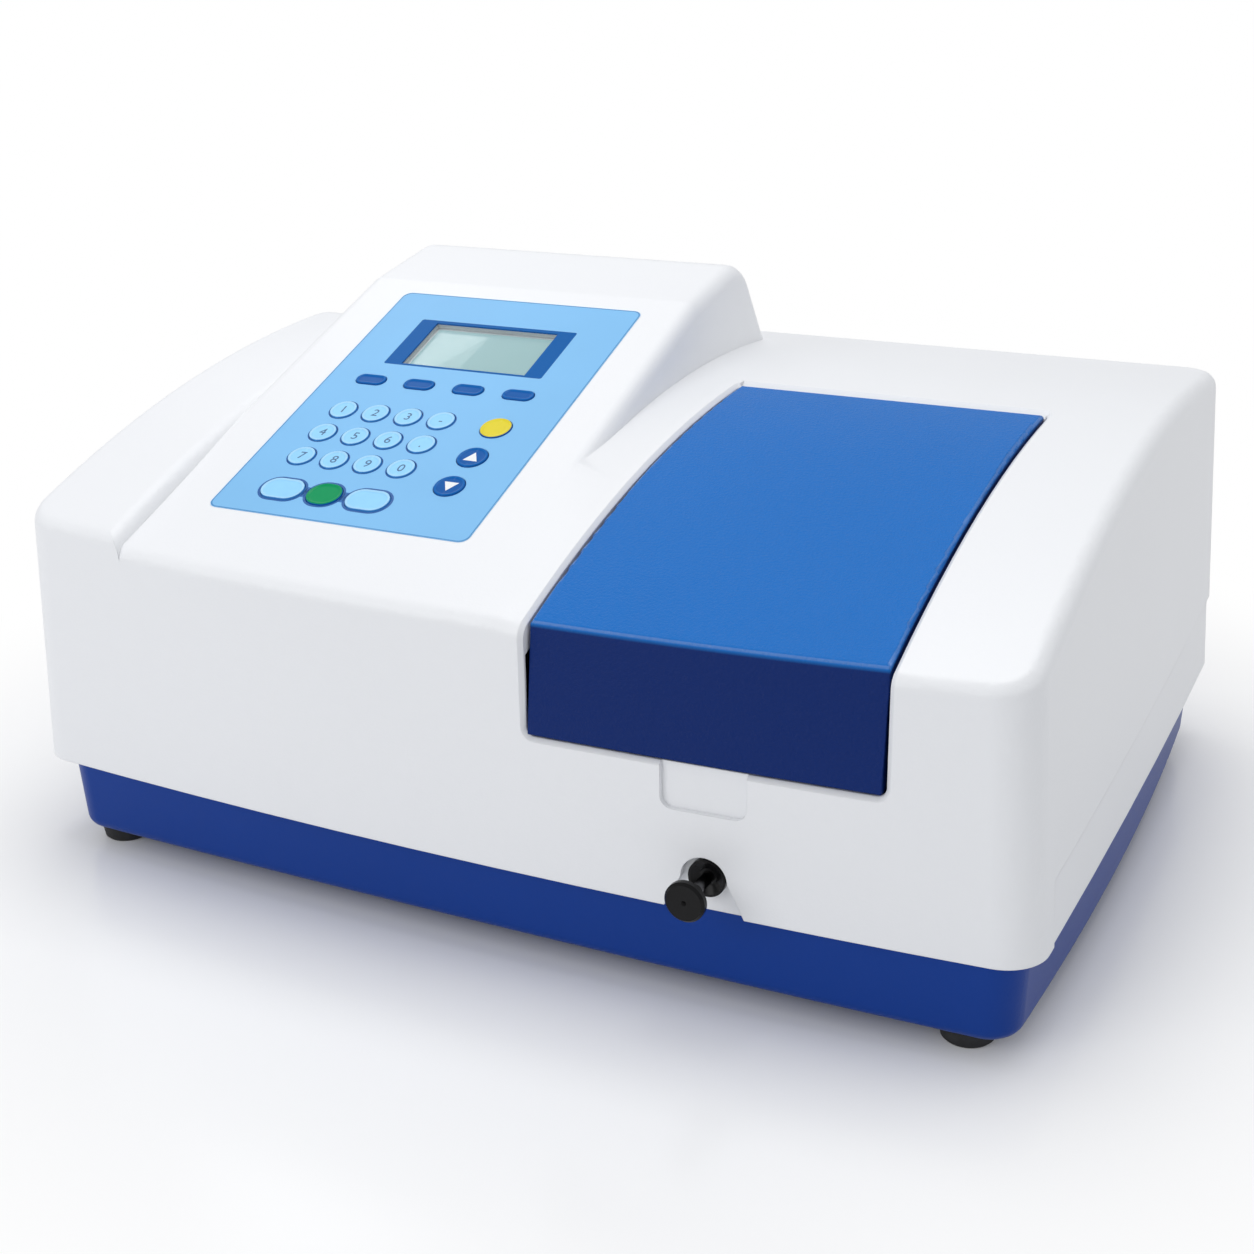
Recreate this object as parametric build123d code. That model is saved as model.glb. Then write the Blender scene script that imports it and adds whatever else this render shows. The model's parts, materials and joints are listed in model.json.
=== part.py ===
"""Bench-top UV and visible light spectrophotometer with a hinged sample lid, a four-cell pull rod
and a sloping keypad console. Millimetres, +Z up, the front faces -Y. The origin lies on the bench,
midway between the sides of the cover and midway between the knob's face and the cover's rear."""

from build123d import *
from math import cos, radians, sin, sqrt, tan
import os

# Overall body
body_width = 480.0
body_depth = 358.0
knob_reach = 29.0
foot_height = 8.0
base_height = 35.5
front_bow = 9.4
side_bow = 2.0

# White top cover
cover_wall = 3.0
side_draft = 3.6
corner_radius = 19.0
top_edge_radius = 8.0
block_top = 215.0
reach = 40.0
front_rise = 112.3
crest_rise = 158.4
crest_setback = 122.0
deck_fall = 4.5
wing_front_rise = 119.5
wing_crest_rise = 168.5
wing_crest_setback = 108.0
wing_end_setback = 111.0
wing_end_radius = 40.0
wing_width = 61.5
wing_draft = 3.0
seam_front = 27.0
seam_rear = 36.5
seam_step = 0.8
seam_setback = 2.8
seam_start = 24.0
seam_groove = 0.8
seam_depth = 2.0

# Sloping console
console_angle = 20.5
console_rise = 113.3
console_width = 183.5
crease_setback = 143.0
console_top_length = 61.0
console_top_rise = 205.3
console_back_length = 31.0
console_back_rise = 151.0
flank_draft = 3.0
flank_cove_rise = 5.7
flank_cove_width = 22.0
flank_cove_start = 3.0
crease_radius = 5.0
console_back_radius = 22.0

# Blue base tray
base_inset_left = 15.5
base_inset_right = 6.5
base_inset_front = 0.5
base_inset_rear = 22.0
base_bow = 3.6
base_side_bow = 5.3
base_draft = 2.5
base_corner = 15.0
base_bottom_radius = 6.0
base_wall = 3.0
base_lip = 7.0
lip_inset = 4.4
lip_gap = 0.3
ledge_wall = 2.5
cover_seat = 0.4
vent_count = 9
vent_width = 3.0
vent_length = 46.0
vent_pitch = 8.0

# Feet
foot_radius = 12.0
foot_inset_left = 32.5
foot_inset_right = 29.5
foot_setback = 18.5
foot_bore = 2.2
foot_counterbore = 4.4
foot_counter_depth = 4.0
foot_taper = 1.2
foot_edge = 1.0
boss_radius = 6.0
foot_boss_height = 9.0
foot_screw_length = 11.0
screw_head_height = 2.6
screw_head_round = 1.0

# Cover fixing bosses
fixing_inset = 15.0
fixing_boss = 5.0
fixing_bore = 1.7
fixing_level = 8.0
fixing_depth = 16.0
fixing_screw = 30.0

# Lid over the sample compartment
lid_width = 146.0
lid_side_inset = 61.0
lid_setback = 151.0
lid_front_lean = 6.9
lid_wall = 2.5
lid_front_rise = 64.0
lid_skirt_run = 8.0
lid_skirt_rear_rise = 140.0
lid_edge_radius = 2.0
lid_gap = 1.5
hinge_inset = 8.5
hinge_rise = 149.7
hinge_pin_radius = 2.0
hinge_clearance = 0.06
hinge_rod_end = 0.4
hinge_rod_reach = 1.0
lug_radius = 4.4
lug_width = 6.0
lug_inset = 13.5
ear_radius = 3.6
ear_width = 4.0
ear_gap = 0.5
recess_rear_gap = 3.8
recess_ramp = 4.2
recess_ramp_drop = 3.0
recess_corner = 4.0
recess_chamfer = 1.8
rim_depth = 9.0
rim_wall = 2.5

# Finger recess and rod scoop in the front wall
finger_width = 36.0
finger_shift = 2.5
finger_height = 21.0
finger_depth = 2.2
finger_radius = 5.0
scoop_width = 34.0
scoop_shift = -1.2
scoop_top = 24.2
scoop_top_radius = 9.8
scoop_depth = 3.4
pocket_floor = 2.5

# Sample well
well_gap = 2.5
well_wall = 2.5
well_front_run = 10.0
well_rear_gap = 20.5
well_roof_gap = 1.0
well_floor_z = 38.0
well_front_rise = 68.0

# Four-cell carriage on its rails
rod_shift = 4.0
rod_z = 58.9
cell_count = 4
cell_size = 12.7
cell_pitch = 18.0
cell_floor_z = 46.0
cell_block_top = 76.0
cell_block_width = 24.0
cell_end_wall = 2.5
beam_run = 95.0
beam_z = 62.0
beam_window = 6.0
beam_window_height = 14.0
sled_width = 54.0
sled_bottom_z = 43.0
sled_top_z = 53.5
rail_radius = 3.0
rail_spacing = 40.0
rail_z = 48.2
running = 0.05
block_chamfer = 1.0
sled_corner = 3.0

# Pull rod, bush and knob
rod_radius = 2.5
knob_radius = 8.5
knob_thickness = 3.8
knob_neck_radius = 4.2
knob_neck = 7.0
knob_edge = 1.0
knob_back_edge = 0.6
knob_waist = 1.0
knob_dimple = 1.1
knob_dimple_depth = 1.2
bush_flange_radius = 8.0
bush_flange = 2.8
bush_cup_radius = 7.0
bush_cup_depth = 1.9
bush_radius = 4.5
bush_run = -7.3
bush_length = 20.0
bush_fit = 0.1
bush_mouth = 1.0

# Keypad overlay on the console
panel_shift = 3.05
panel_slope = 125.5
panel_width = 134.0
panel_length = 184.0
panel_corner = 4.5
panel_recess = 0.6
panel_sheet = 0.8
panel_rim = 6.0

# Keys, placed from the middle of the overlay
key_clearance = 0.3
key_travel = 0.7
key_proud = 1.5
key_edge = 0.6
key_flange = 0.9
key_flange_thick = 0.9
key_post_radius = 2.0
key_post = 0.6
number_key = 13.2
number_columns = 4
number_first_u = -42.6
number_first_v = -11.6
number_pitch_u = 17.8
number_pitch_v = 18.8
soft_key_width = 16.2
soft_key_height = 7.8
soft_first_u = -42.5
soft_pitch_u = 26.8
soft_v = 14.3
side_key = 14.4
side_key_u = 40.0
menu_key_v = -12.3
menu_key_size = 15.0
up_key_v = -35.2
down_key_v = -56.9
oval_key_width = 21.6
oval_key_height = 14.4
oval_left_u = -37.3
oval_right_u = 7.7
start_key_width = 17.2
start_key_height = 15.2
start_key_u = -15.0
bottom_row_v = -73.8

# Display in the console
bezel_width = 86.6
bezel_height = 40.2
bezel_u = -0.9
bezel_v = 49.0
bezel_corner = 1.2
window_width = 67.6
window_height = 36.4
window_v = 48.6
window_recess = 0.4
window_thick = 0.8
lcd_border = 5.0
lcd_depth = 2.6
lcd_thick = 3.6

# Key frame and board under the overlay
frame_fit = 0.3
frame_flange = 4.0
frame_flange_thick = 2.0
flange_gap = 0.2
board_gap = 5.0
board_thick = 1.6
dome_radius = 3.6
standoff_radius = 3.0

# Rear panel and what it carries
rear_panel_left_inset = 90.0
rear_panel_right_inset = 70.0
rear_panel_low = 58.0
rear_panel_high = 140.0
rear_panel_setback = 7.0
rear_panel_thick = 1.5
rear_rim = 8.0
rear_opening_corner = 6.0
fan_inset = 45.0
fan_z = 99.0
fan_size = 60.0
fan_depth = 15.0
fan_bore = 28.0
fan_hub = 12.5
fan_blades = 7
fan_blade_thick = 1.6
fan_tip_gap = 1.2
fan_strut = 4.0
fan_strut_thick = 2.0
fan_corner = 3.0
fan_end_gap = 3.0
fan_rotor_depth = 11.0
blade_depth = 10.0
blade_pitch = 35.0
blade_root = 2.0
grille_rings = 4
grille_slot = 2.8
grille_pitch = 6.2
grille_web = 3.0
inlet_inset = 40.0
inlet_z = 99.0
inlet_width = 31.0
inlet_height = 48.0
inlet_flange = 2.5
inlet_depth = 24.0
inlet_cavity_width = 24.5
inlet_cavity_height = 17.5
inlet_cavity_depth = 16.0
inlet_pin_setback = 6.0
inlet_pin_width = 2.0
inlet_pin_height = 4.2
inlet_pin_pitch = 7.0
inlet_fuse_height = 14.0
inlet_body_inset = 2.0
inlet_corner = 3.0
inlet_mouth_chamfer = 5.0
drawer_inset_x = 3.0
drawer_inset_z = 2.0
drawer_groove = 1.0
switch_pitch = 42.0
switch_z = 99.0
switch_width = 21.0
switch_height = 28.0
switch_flange = 1.8
switch_body_inset = 1.2
switch_depth = 18.0
switch_corner = 2.0
rocker_width = 15.0
rocker_height = 22.0
rocker_gap = 0.5
rocker_tilt = 9.0
rocker_pin = 1.6
rocker_skirt = 1.2
rocker_taper = 2.0
rocker_shoulder = 3.0
rocker_crest = 5.4
rocker_dip = 3.2
rocker_end_gap = 1.0
port_pitch = 48.0
port_z = 99.0
port_width = 31.0
port_height = 12.6
port_shell_width = 19.0
port_shell_height = 8.4
port_shell_depth = 5.0
port_depth = 9.0
port_shell_corner = 2.0
port_corner = 1.0
port_rows = ((1, 5), (-1, 4))
pole_pitch = 2.8
pole_row = 1.4
pole_radius = 0.6
pole_depth = 4.0
panel_hole_fit = 0.2

# Optics and electronics inside
optics_left_gap = 38.5
optics_front_run = 46.0
optics_rear_gap = 8.5
optics_height = 62.0
optics_wall = 8.0
optics_plate = 4.0
optics_port_radius = 9.0
optics_corner = 6.0
lens_radius = 8.0
lens_edge = 2.5
lens_sag = 1.2
lamp_inset = 37.0
lamp_width = 66.0
lamp_setback = 176.0
lamp_length = 118.0
lamp_height = 96.0
lamp_wall = 1.5
lamp_radius = 12.0
lamp_base_height = 16.0
lamp_bulb_height = 40.0
lamp_bulb_round = 0.8
halogen_run = 32.0
halogen_radius = 7.2
deuterium_run = 84.0
deuterium_radius = 10.8
lamp_slot = 5.0
lamp_slot_pitch = 14.0
detector_width = 42.0
detector_length = 54.0
detector_height = 74.0
detector_corner = 4.0
board_lamp_gap = 17.0
board_width = 160.0
board_setback = 136.0
board_length = 96.0
board_level = 10.0
chip_size = 18.0
chip_thick = 3.0
chip_pitch = 32.0
supply_board_gap = 20.0
supply_width = 136.0
supply_length = 78.0
supply_height = 44.0
supply_corner = 3.0
supply_slot_depth = 1.0

# Reach of the cutting shapes past what they cut, and the least rise of a face that looks upwards
margin = 1.0
upward = 0.3
near = 0.1

# Places worked out from those sizes
front = (knob_reach - body_depth) / 2
rear = front + body_depth
mid_y = (front + rear) / 2
cover_z = foot_height + base_height
floor_z = foot_height + base_wall
crest_run = body_depth - crest_setback
wing_crest_run = body_depth - wing_crest_setback
wing_end_run = body_depth - wing_end_setback
crease_run = body_depth - crease_setback
console_top_run = crease_run + console_top_length
console_back_run = console_top_run + console_back_length
wing_x = -body_width / 2 + wing_width
flank_x = wing_x + console_width
lid_right = body_width / 2 - lid_side_inset
lid_left = lid_right - lid_width
lid_centre_x = (lid_left + lid_right) / 2
lid_rear_run = body_depth - lid_setback
recess_rear_run = lid_rear_run + recess_rear_gap
well_rear_run = lid_rear_run - well_rear_gap
rod_x = lid_centre_x + rod_shift
foot_left_x = -body_width / 2 + foot_inset_left
foot_right_x = body_width / 2 - foot_inset_right
hinge_y = front + lid_rear_run - hinge_inset
hinge_z = cover_z + hinge_rise
well_left = lid_left + lid_wall + well_gap
well_right = lid_right - lid_wall - well_gap
well_front = front + well_front_run
well_rear = front + well_rear_run
beam_y = front + beam_run
cell_block_front = beam_y - cell_size / 2 - cell_end_wall
cell_block_length = cell_pitch * (cell_count - 1) + cell_size + 2 * cell_end_wall
knob_face = front - knob_reach
slope = tan(radians(console_angle))
panel_x = (wing_x + flank_x) / 2 + panel_shift
panel_normal = (0, -sin(radians(console_angle)), cos(radians(console_angle)))
panel_y = front + panel_slope * cos(radians(console_angle))
panel_z = cover_z + console_rise + panel_slope * sin(radians(console_angle))
panel = Plane(origin=(panel_x, panel_y, panel_z), x_dir=(1, 0, 0), z_dir=panel_normal)
frame_top = -panel_recess
frame_bottom = -cover_wall - frame_flange_thick
key_flange_top = frame_bottom - flange_gap
key_base = key_flange_top - key_flange_thick
board_top = frame_bottom - board_gap
panel_y_rear = rear - rear_panel_setback
rear_panel_left = -body_width / 2 + rear_panel_left_inset
rear_panel_right = body_width / 2 - rear_panel_right_inset
fan_x = rear_panel_left + fan_inset
inlet_x = rear_panel_right - inlet_inset
switch_x = inlet_x - switch_pitch
port_x = switch_x - port_pitch
optics_left = wing_x + optics_left_gap
optics_rear_run = well_rear_run - optics_rear_gap
lamp_left = -body_width / 2 + lamp_inset
lamp_right = lamp_left + lamp_width
lamp_front_run = body_depth - lamp_setback
lamp_rear_run = lamp_front_run + lamp_length
board_left = lamp_right + board_lamp_gap
board_right = board_left + board_width
board_front_run = body_depth - board_setback
board_rear_run = board_front_run + board_length
supply_left = board_right + supply_board_gap
supply_right = supply_left + supply_width
supply_rear_run = board_front_run + supply_length


def block(x0, x1, y0, y1, z0, z1):
    """A box between two corners."""
    return Pos((x0 + x1) / 2, (y0 + y1) / 2, (z0 + z1) / 2) * Box(x1 - x0, y1 - y0, z1 - z0)


def rod(start, direction, radius, length):
    """A round bar from a point along a direction."""
    return extrude(Plane(origin=start, z_dir=direction) * Circle(radius), amount=length)


def side_prism(profile, x0, x1):
    """A side view, drawn in Y and Z, made solid from x0 to x1."""
    return extrude(Plane.YZ.offset(x0) * profile, amount=x1 - x0)


def bowed_plan(left, right, y0, y1, bow, sides):
    """A plan outline whose front and sides swell outwards by small arcs."""
    middle = (y0 + y1) / 2
    return make_face([
        ThreePointArc((left, y0), ((left + right) / 2, y0 - bow), (right, y0)),
        ThreePointArc((right, y0), (right + sides, middle), (right, y1)),
        Line((right, y1), (left, y1)),
        ThreePointArc((left, y1), (left - sides, middle), (left, y0)),
    ])


def upright_edges(solid, height):
    """The corner edges that climb at least a given height."""
    return [e for e in solid.edges() if abs((e @ 1).Z - (e @ 0).Z) > height]


# Top cover: one drafted block of bowed walls, cut by three side views for wing, console and deck

def cover_plan(inset, height, setback):
    half = body_width / 2 - inset - height * tan(radians(side_draft))
    return bowed_plan(-half, half, front + inset, rear - inset - setback, front_bow, side_bow)


def cover_walls(inset, below=0.0, setback=0.0):
    low = Pos(0, 0, cover_z - below) * cover_plan(inset, -below, setback)
    high = Pos(0, 0, cover_z + block_top) * cover_plan(inset, block_top, setback)
    walls = loft([low, high], ruled=True)
    return fillet(upright_edges(walls, block_top / 2), corner_radius - inset)


def inward(profile, inset):
    return offset(profile, -inset, kind=Kind.INTERSECTION) if inset else profile


def arch_radius(low, high, crest):
    """Radius of an arc that climbs from the front to its crest."""
    return (crest ** 2 + (high - low) ** 2) / (2 * (high - low))


def arch_height(run, low, high, crest):
    """Height above the cover's lower edge on such an arc."""
    radius = arch_radius(low, high, crest)
    return high - radius + sqrt(radius ** 2 - (run - crest) ** 2)


def deck_height(run):
    return arch_height(run, front_rise, crest_rise, crest_run)


def wing_height(run):
    return arch_height(run, wing_front_rise, wing_crest_rise, wing_crest_run)


def deck_profile(lift, inset):
    start = (front - reach, cover_z + lift + deck_height(-reach))
    middle = (front + crest_run / 2, cover_z + lift + deck_height(crest_run / 2))
    turn = arch_radius(front_rise, crest_rise, crest_run) * sin(radians(deck_fall))
    end = (front + crest_run + turn, cover_z + lift + deck_height(crest_run + turn))
    back_y = rear + reach
    back_z = end[1] - (back_y - end[0]) * tan(radians(deck_fall))
    low = cover_z - 2 * reach
    arc = ThreePointArc(start, middle, end)
    rest = Polyline(end, (back_y, back_z), (back_y, low), (start[0], low), start)
    return inward(make_face([arc, rest]), inset)


def wing_profile(inset):
    """Side view of the wing, whose arc rounds over and dives into the deck behind."""
    start = (front - reach, cover_z + wing_height(-reach))
    middle = (front + wing_end_run / 2, cover_z + wing_height(wing_end_run / 2))
    end = (front + wing_end_run, cover_z + wing_height(wing_end_run))
    foot = (end[0] + 2 * reach, end[1] - 2 * reach)
    low = cover_z - 2 * reach
    arc = ThreePointArc(start, middle, end)
    face = make_face([arc, Polyline(end, foot, (foot[0], low), (start[0], low), start)])
    corner = face.vertices().sort_by_distance((*end, 0))[0]
    return inward(fillet(corner, wing_end_radius), inset)


def console_profile(inset):
    low = cover_z - 2 * reach
    crease = (front + crease_run, cover_z + console_rise + crease_run * slope)
    top = (front + console_top_run, cover_z + console_top_rise)
    back = (front + console_back_run, cover_z + console_back_rise)
    start = (front - reach, cover_z + console_rise - reach * slope)
    outline = Polyline(start, crease, top, back, (back[0], low), (start[0], low), close=True)
    face = make_face(outline)
    face = fillet(face.vertices().sort_by_distance((*crease, 0))[0], crease_radius)
    face = fillet(face.vertices().sort_by_distance((*top, 0))[0], console_back_radius)
    return inward(face, inset)


def leaning_band(x0, x1, draft):
    """A band of the cover between two side walls that spread towards the bottom."""
    spread = block_top * tan(radians(draft))
    plan = Rectangle(x1 - x0 + 2 * spread, 2 * body_depth)
    band = extrude(Pos((x0 + x1) / 2, mid_y, 0) * plan, amount=block_top, taper=draft)
    return Pos(0, 0, cover_z) * band


def soften_top(solid, radius):
    """Rounds the edges that bound the faces looking upwards."""
    edges = []
    for face in solid.faces():
        if face.normal_at(None).Z > upward:
            edges += face.edges()
    once = [e for e in edges if sum(1 for other in edges if other.is_same(e)) == 1]
    return fillet(once, radius)


def cover_form(inset):
    walls = cover_walls(inset, below=0.0 if inset == 0 else reach / 4)
    radius = top_edge_radius - inset
    deck = soften_top(walls & side_prism(deck_profile(0, inset), -body_width, body_width), radius)
    wing = walls & side_prism(wing_profile(inset), -body_width, body_width)
    wing = soften_top(wing & leaning_band(-body_width, wing_x - inset, wing_draft), radius)
    console = walls & side_prism(console_profile(inset), -body_width, body_width)
    console &= leaning_band(wing_x + inset, flank_x - inset, flank_draft)
    return deck + wing + soften_top(console, radius)


def flank_cove():
    """The soft facet at the foot of the console's right flank, rounded where it meets the front wall."""
    tall = Plane.YZ.offset(flank_x - flank_cove_start) * deck_profile(flank_cove_rise, 0)
    flat = Plane.YZ.offset(flank_x - flank_cove_start + flank_cove_width) * deck_profile(-near, 0)
    facet = loft([tall, flat], ruled=True) & side_prism(console_profile(0), -body_width, body_width)
    facet &= cover_walls(0.0)
    brow = [e for e in facet.edges() if e.center().Y < front and e.center().Z > cover_z + front_rise / 2
            and abs((e @ 1).Z - (e @ 0).Z) < flank_cove_rise]
    return fillet(brow, top_edge_radius)


def front_pocket(outline, depth):
    """A shallow pocket of even depth in the front wall."""
    tool = extrude(Plane.XZ.offset(-front) * outline, amount=4 * reach, both=True)
    tool &= block(-body_width, body_width, front - reach, front + reach, 0, cover_z + block_top)
    return tool - cover_walls(depth, below=reach / 4)


def front_pad(outline, depth):
    """The thicker wall behind a pocket."""
    tool = extrude(Plane.XZ.offset(-front) * outline, amount=4 * reach, both=True)
    tool &= cover_walls(cover_wall - running, below=-running)
    return tool - cover_walls(pocket_floor + depth, below=reach / 4)


def finger_outline(grow):
    top = cover_z + lid_front_rise
    middle = lid_centre_x + finger_shift
    shape = Pos(middle, top) * RectangleRounded(
        finger_width + 2 * grow, 2 * (finger_height + grow), finger_radius
    )
    return shape & Pos(middle, top - finger_height) * Rectangle(
        finger_width + 2 * grow, 2 * finger_height - 2 * lid_gap
    )


def scoop_outline(grow):
    half = scoop_width / 2 + grow
    top = cover_z + scoop_top + grow
    low = cover_z - reach
    foot = cover_z
    neck = top - scoop_top_radius
    bend = scoop_top_radius + grow
    outline = make_face([
        Polyline((-bend, neck), (-half, foot), (-half, low), (half, low), (half, foot), (bend, neck)),
        ThreePointArc((bend, neck), (0, top), (-bend, neck)),
    ])
    return Pos(rod_x + scoop_shift, 0) * outline


def lid_opening(grow):
    """The space of the lid with a clearance round it, open to the front and the top."""
    tool = block(lid_left - grow, lid_right + grow, front - reach, front + recess_rear_run,
                 cover_z + lid_front_rise - grow, cover_z + block_top)
    low_edges = tool.edges().filter_by(Axis.Y).sort_by(Axis.Z)[:2]
    tall_edges = tool.edges().filter_by(Axis.Z).sort_by(Axis.Y)[2:]
    return fillet(low_edges + tall_edges, recess_corner)


def base_ledge(outer):
    """The inward flange along the cover's lower edge that closes the gap to the base."""
    flange = outer & block(-body_width, body_width, -body_depth, body_depth, cover_z,
                           cover_z + ledge_wall)
    return flange - base_block(lip_inset - lip_gap, cover_z - reach, cover_z + reach)


def recess_rim():
    """The down-turned edge of the cover round the lid."""
    outer = block(lid_left - lid_gap - rim_wall, lid_right + lid_gap + rim_wall, front - reach,
                  front + recess_rear_run + recess_ramp, cover_z + lid_front_rise,
                  cover_z + block_top)
    deep = cover_wall + rim_depth
    ring = outer & side_prism(deck_profile(0, cover_wall - running), lid_left - reach, lid_right + reach)
    ring &= cover_walls(cover_wall - running)
    return ring - side_prism(deck_profile(0, deep), lid_left - reach, lid_right + reach)


def recess_side_edges(shell):
    """The two long edges of the deck beside the lid."""
    edges = []
    for edge in shell.edges():
        beside = [x for x in (lid_left - lid_gap, lid_right + lid_gap) if abs(edge.center().X - x) < near]
        level = cover_z + deck_height(edge.center().Y - front)
        if beside and edge.length > lid_width / 2 and abs(edge.center().Z - level) < cover_wall / 2:
            edges.append(edge)
    return edges


def recess_ramp_tool():
    """The slope that leads from the rear deck down to the lid's rear edge."""
    back = front + recess_rear_run
    level = cover_z + deck_height(recess_rear_run)
    wedge = Polyline((back - margin, level - recess_ramp_drop), (back, level - recess_ramp_drop),
                     (back + recess_ramp, level + margin), (back - margin, level + margin), close=True)
    return side_prism(make_face(wedge), lid_left - lid_gap, lid_right + lid_gap)


def overlay_plan(inset):
    return RectangleRounded(panel_width - 2 * inset, panel_length - 2 * inset,
                            panel_corner - inset / 2)


def rear_opening(grow):
    width = rear_panel_right - rear_panel_left + 2 * grow
    height = rear_panel_high - rear_panel_low + 2 * grow
    plan = RectangleRounded(width, height, rear_opening_corner)
    centre = Pos((rear_panel_left + rear_panel_right) / 2, (rear_panel_low + rear_panel_high) / 2)
    return extrude(Plane.XZ.offset(-rear) * (centre * plan), amount=reach, both=True)


def fixing_places():
    """Plan places of the six screws that hold the cover on the base."""
    left = -body_width / 2 + base_inset_left + fixing_inset
    right = body_width / 2 - base_inset_right - fixing_inset
    y0 = front + base_inset_front + fixing_inset + 2 * foot_setback
    y1 = rear - base_inset_rear - fixing_inset
    return [(x, y) for x in (left, right) for y in (y0, (y0 + y1) / 2, y1)]


def cover_fixings(walls):
    """Screw bosses on gussets inside the cover's side walls."""
    bosses = []
    low = cover_z + fixing_level
    for x, y in fixing_places():
        side = 1 if x > 0 else -1
        boss = Pos(x, y, low + fixing_depth / 2) * Cylinder(fixing_boss, fixing_depth)
        web = block(min(x, side * body_width), max(x, side * body_width), y - cover_wall / 2,
                    y + cover_wall / 2, low, low + fixing_depth)
        bosses.append((boss + web) & walls)
    return bosses


def stepped_form():
    """The outside of the cover, with the lower band of its sides and rear set back."""
    outer = cover_form(0.0)
    seam = Plane(origin=(0, front, cover_z + seam_front), x_dir=(1, 0, 0),
                 z_dir=(0, seam_front - seam_rear, body_depth))
    below = extrude(seam * Rectangle(4 * body_width, 4 * body_depth), amount=-4 * reach)
    groove = extrude(seam * Rectangle(4 * body_width, 4 * body_depth), amount=-seam_groove)
    behind = block(-body_width, body_width, front + seam_start, rear + reach, 0, cover_z + block_top)
    outer -= (below & behind) - cover_walls(seam_step, below=reach / 4, setback=seam_setback)
    return outer - ((groove & behind) - cover_walls(seam_depth, setback=seam_setback))


def top_cover():
    outer = stepped_form() + flank_cove()
    cavity = cover_form(cover_wall)
    band = block(-body_width, body_width, -body_depth, body_depth, 0,
                 cover_z + seam_rear + cover_wall)
    cavity -= band - cover_walls(seam_step + cover_wall, below=reach / 2, setback=seam_setback)
    shell = outer - cavity
    shell += recess_rim()
    shell += front_pad(finger_outline(cover_wall), finger_depth)
    shell += front_pad(scoop_outline(cover_wall), scoop_depth)
    shell += base_ledge(outer)
    rear_frame = rear_opening(rear_rim) & outer
    shell += rear_frame & block(-body_width, body_width, panel_y_rear, rear, 0, cover_z + block_top)
    for boss in cover_fixings(cover_walls(cover_wall - running)):
        shell += boss
    shell -= lid_opening(lid_gap)
    shell -= recess_ramp_tool()
    shell = chamfer(recess_side_edges(shell), recess_chamfer)
    shell -= front_pocket(finger_outline(0.0), finger_depth)
    shell -= front_pocket(scoop_outline(0.0), scoop_depth)
    shell -= rod((rod_x, front - reach, rod_z), (0, 1, 0), bush_radius + bush_fit, 2 * reach)
    shell -= extrude(panel * Pos(0, 0, -panel_recess) * overlay_plan(0.0), amount=reach)
    shell -= extrude(panel * Pos(0, 0, -reach / 2) * overlay_plan(panel_rim), amount=reach)
    shell -= rear_opening(0.0) & block(-body_width, body_width, panel_y_rear - running, rear + reach,
                                       0, cover_z + block_top)
    for x, y in fixing_places():
        shell -= rod((x, y, cover_z + fixing_level - margin), (0, 0, 1), fixing_bore,
                     fixing_depth - cover_wall + margin)
    return shell


# Blue base tray, its feet and the screws

def base_plan(inset, height):
    taper = height * tan(radians(base_draft))
    left = -body_width / 2 + base_inset_left + inset - taper
    right = body_width / 2 - base_inset_right - inset + taper
    y0 = front + base_inset_front + inset - taper
    y1 = rear - base_inset_rear - inset + taper
    return bowed_plan(left, right, y0, y1, base_bow, base_side_bow)


def base_block(inset, z0, z1):
    """The tray's outline, spreading slightly towards its top."""
    low = Pos(0, 0, z0) * base_plan(inset, z0 - cover_z)
    high = Pos(0, 0, z1) * base_plan(inset, z1 - cover_z)
    solid = loft([low, high], ruled=True)
    return fillet(upright_edges(solid, (z1 - z0) / 2), base_corner - inset)


def foot_places():
    y1 = rear - base_inset_rear - foot_setback
    return [(x, y) for y in (front + foot_setback, y1) for x in (foot_left_x, foot_right_x)]


def base_tray():
    top = cover_z - cover_seat
    tray = base_block(0.0, foot_height, top)
    bottom = tray.faces().sort_by(Axis.Z)[0]
    tray = fillet(bottom.edges(), base_bottom_radius)
    tray += base_block(lip_inset, floor_z, cover_z + base_lip)
    tray -= base_block(lip_inset + base_wall, floor_z, cover_z + base_lip + reach)
    for x, y in foot_places():
        tray += Pos(x, y, floor_z + foot_boss_height / 2) * Cylinder(boss_radius, foot_boss_height)
    for x, y in fixing_places():
        height = cover_z + fixing_level - floor_z
        tray += Pos(x, y, floor_z + height / 2) * Cylinder(boss_radius, height)
        tray -= Pos(x, y, floor_z + height / 2) * Cylinder(foot_bore, 2 * height)
        recess = floor_z + height - (fixing_screw - fixing_depth + cover_wall)
        tray -= Pos(x, y, foot_height - reach + (recess - foot_height + reach) / 2) * Cylinder(
            foot_counterbore, recess - foot_height + reach
        )
    for x, y in foot_places():
        tray -= Pos(x, y, foot_height + foot_boss_height / 2) * Cylinder(fixing_bore, foot_boss_height)
    for index in range(vent_count):
        x = (lamp_left + lamp_right) / 2 + (index - (vent_count - 1) / 2) * vent_pitch
        slot = Pos(x, front + (lamp_front_run + lamp_rear_run) / 2) * SlotOverall(
            vent_length, vent_width, rotation=90
        )
        tray -= extrude(Pos(0, 0, foot_height - margin) * slot, amount=base_wall + 2 * margin)
    return tray


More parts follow.
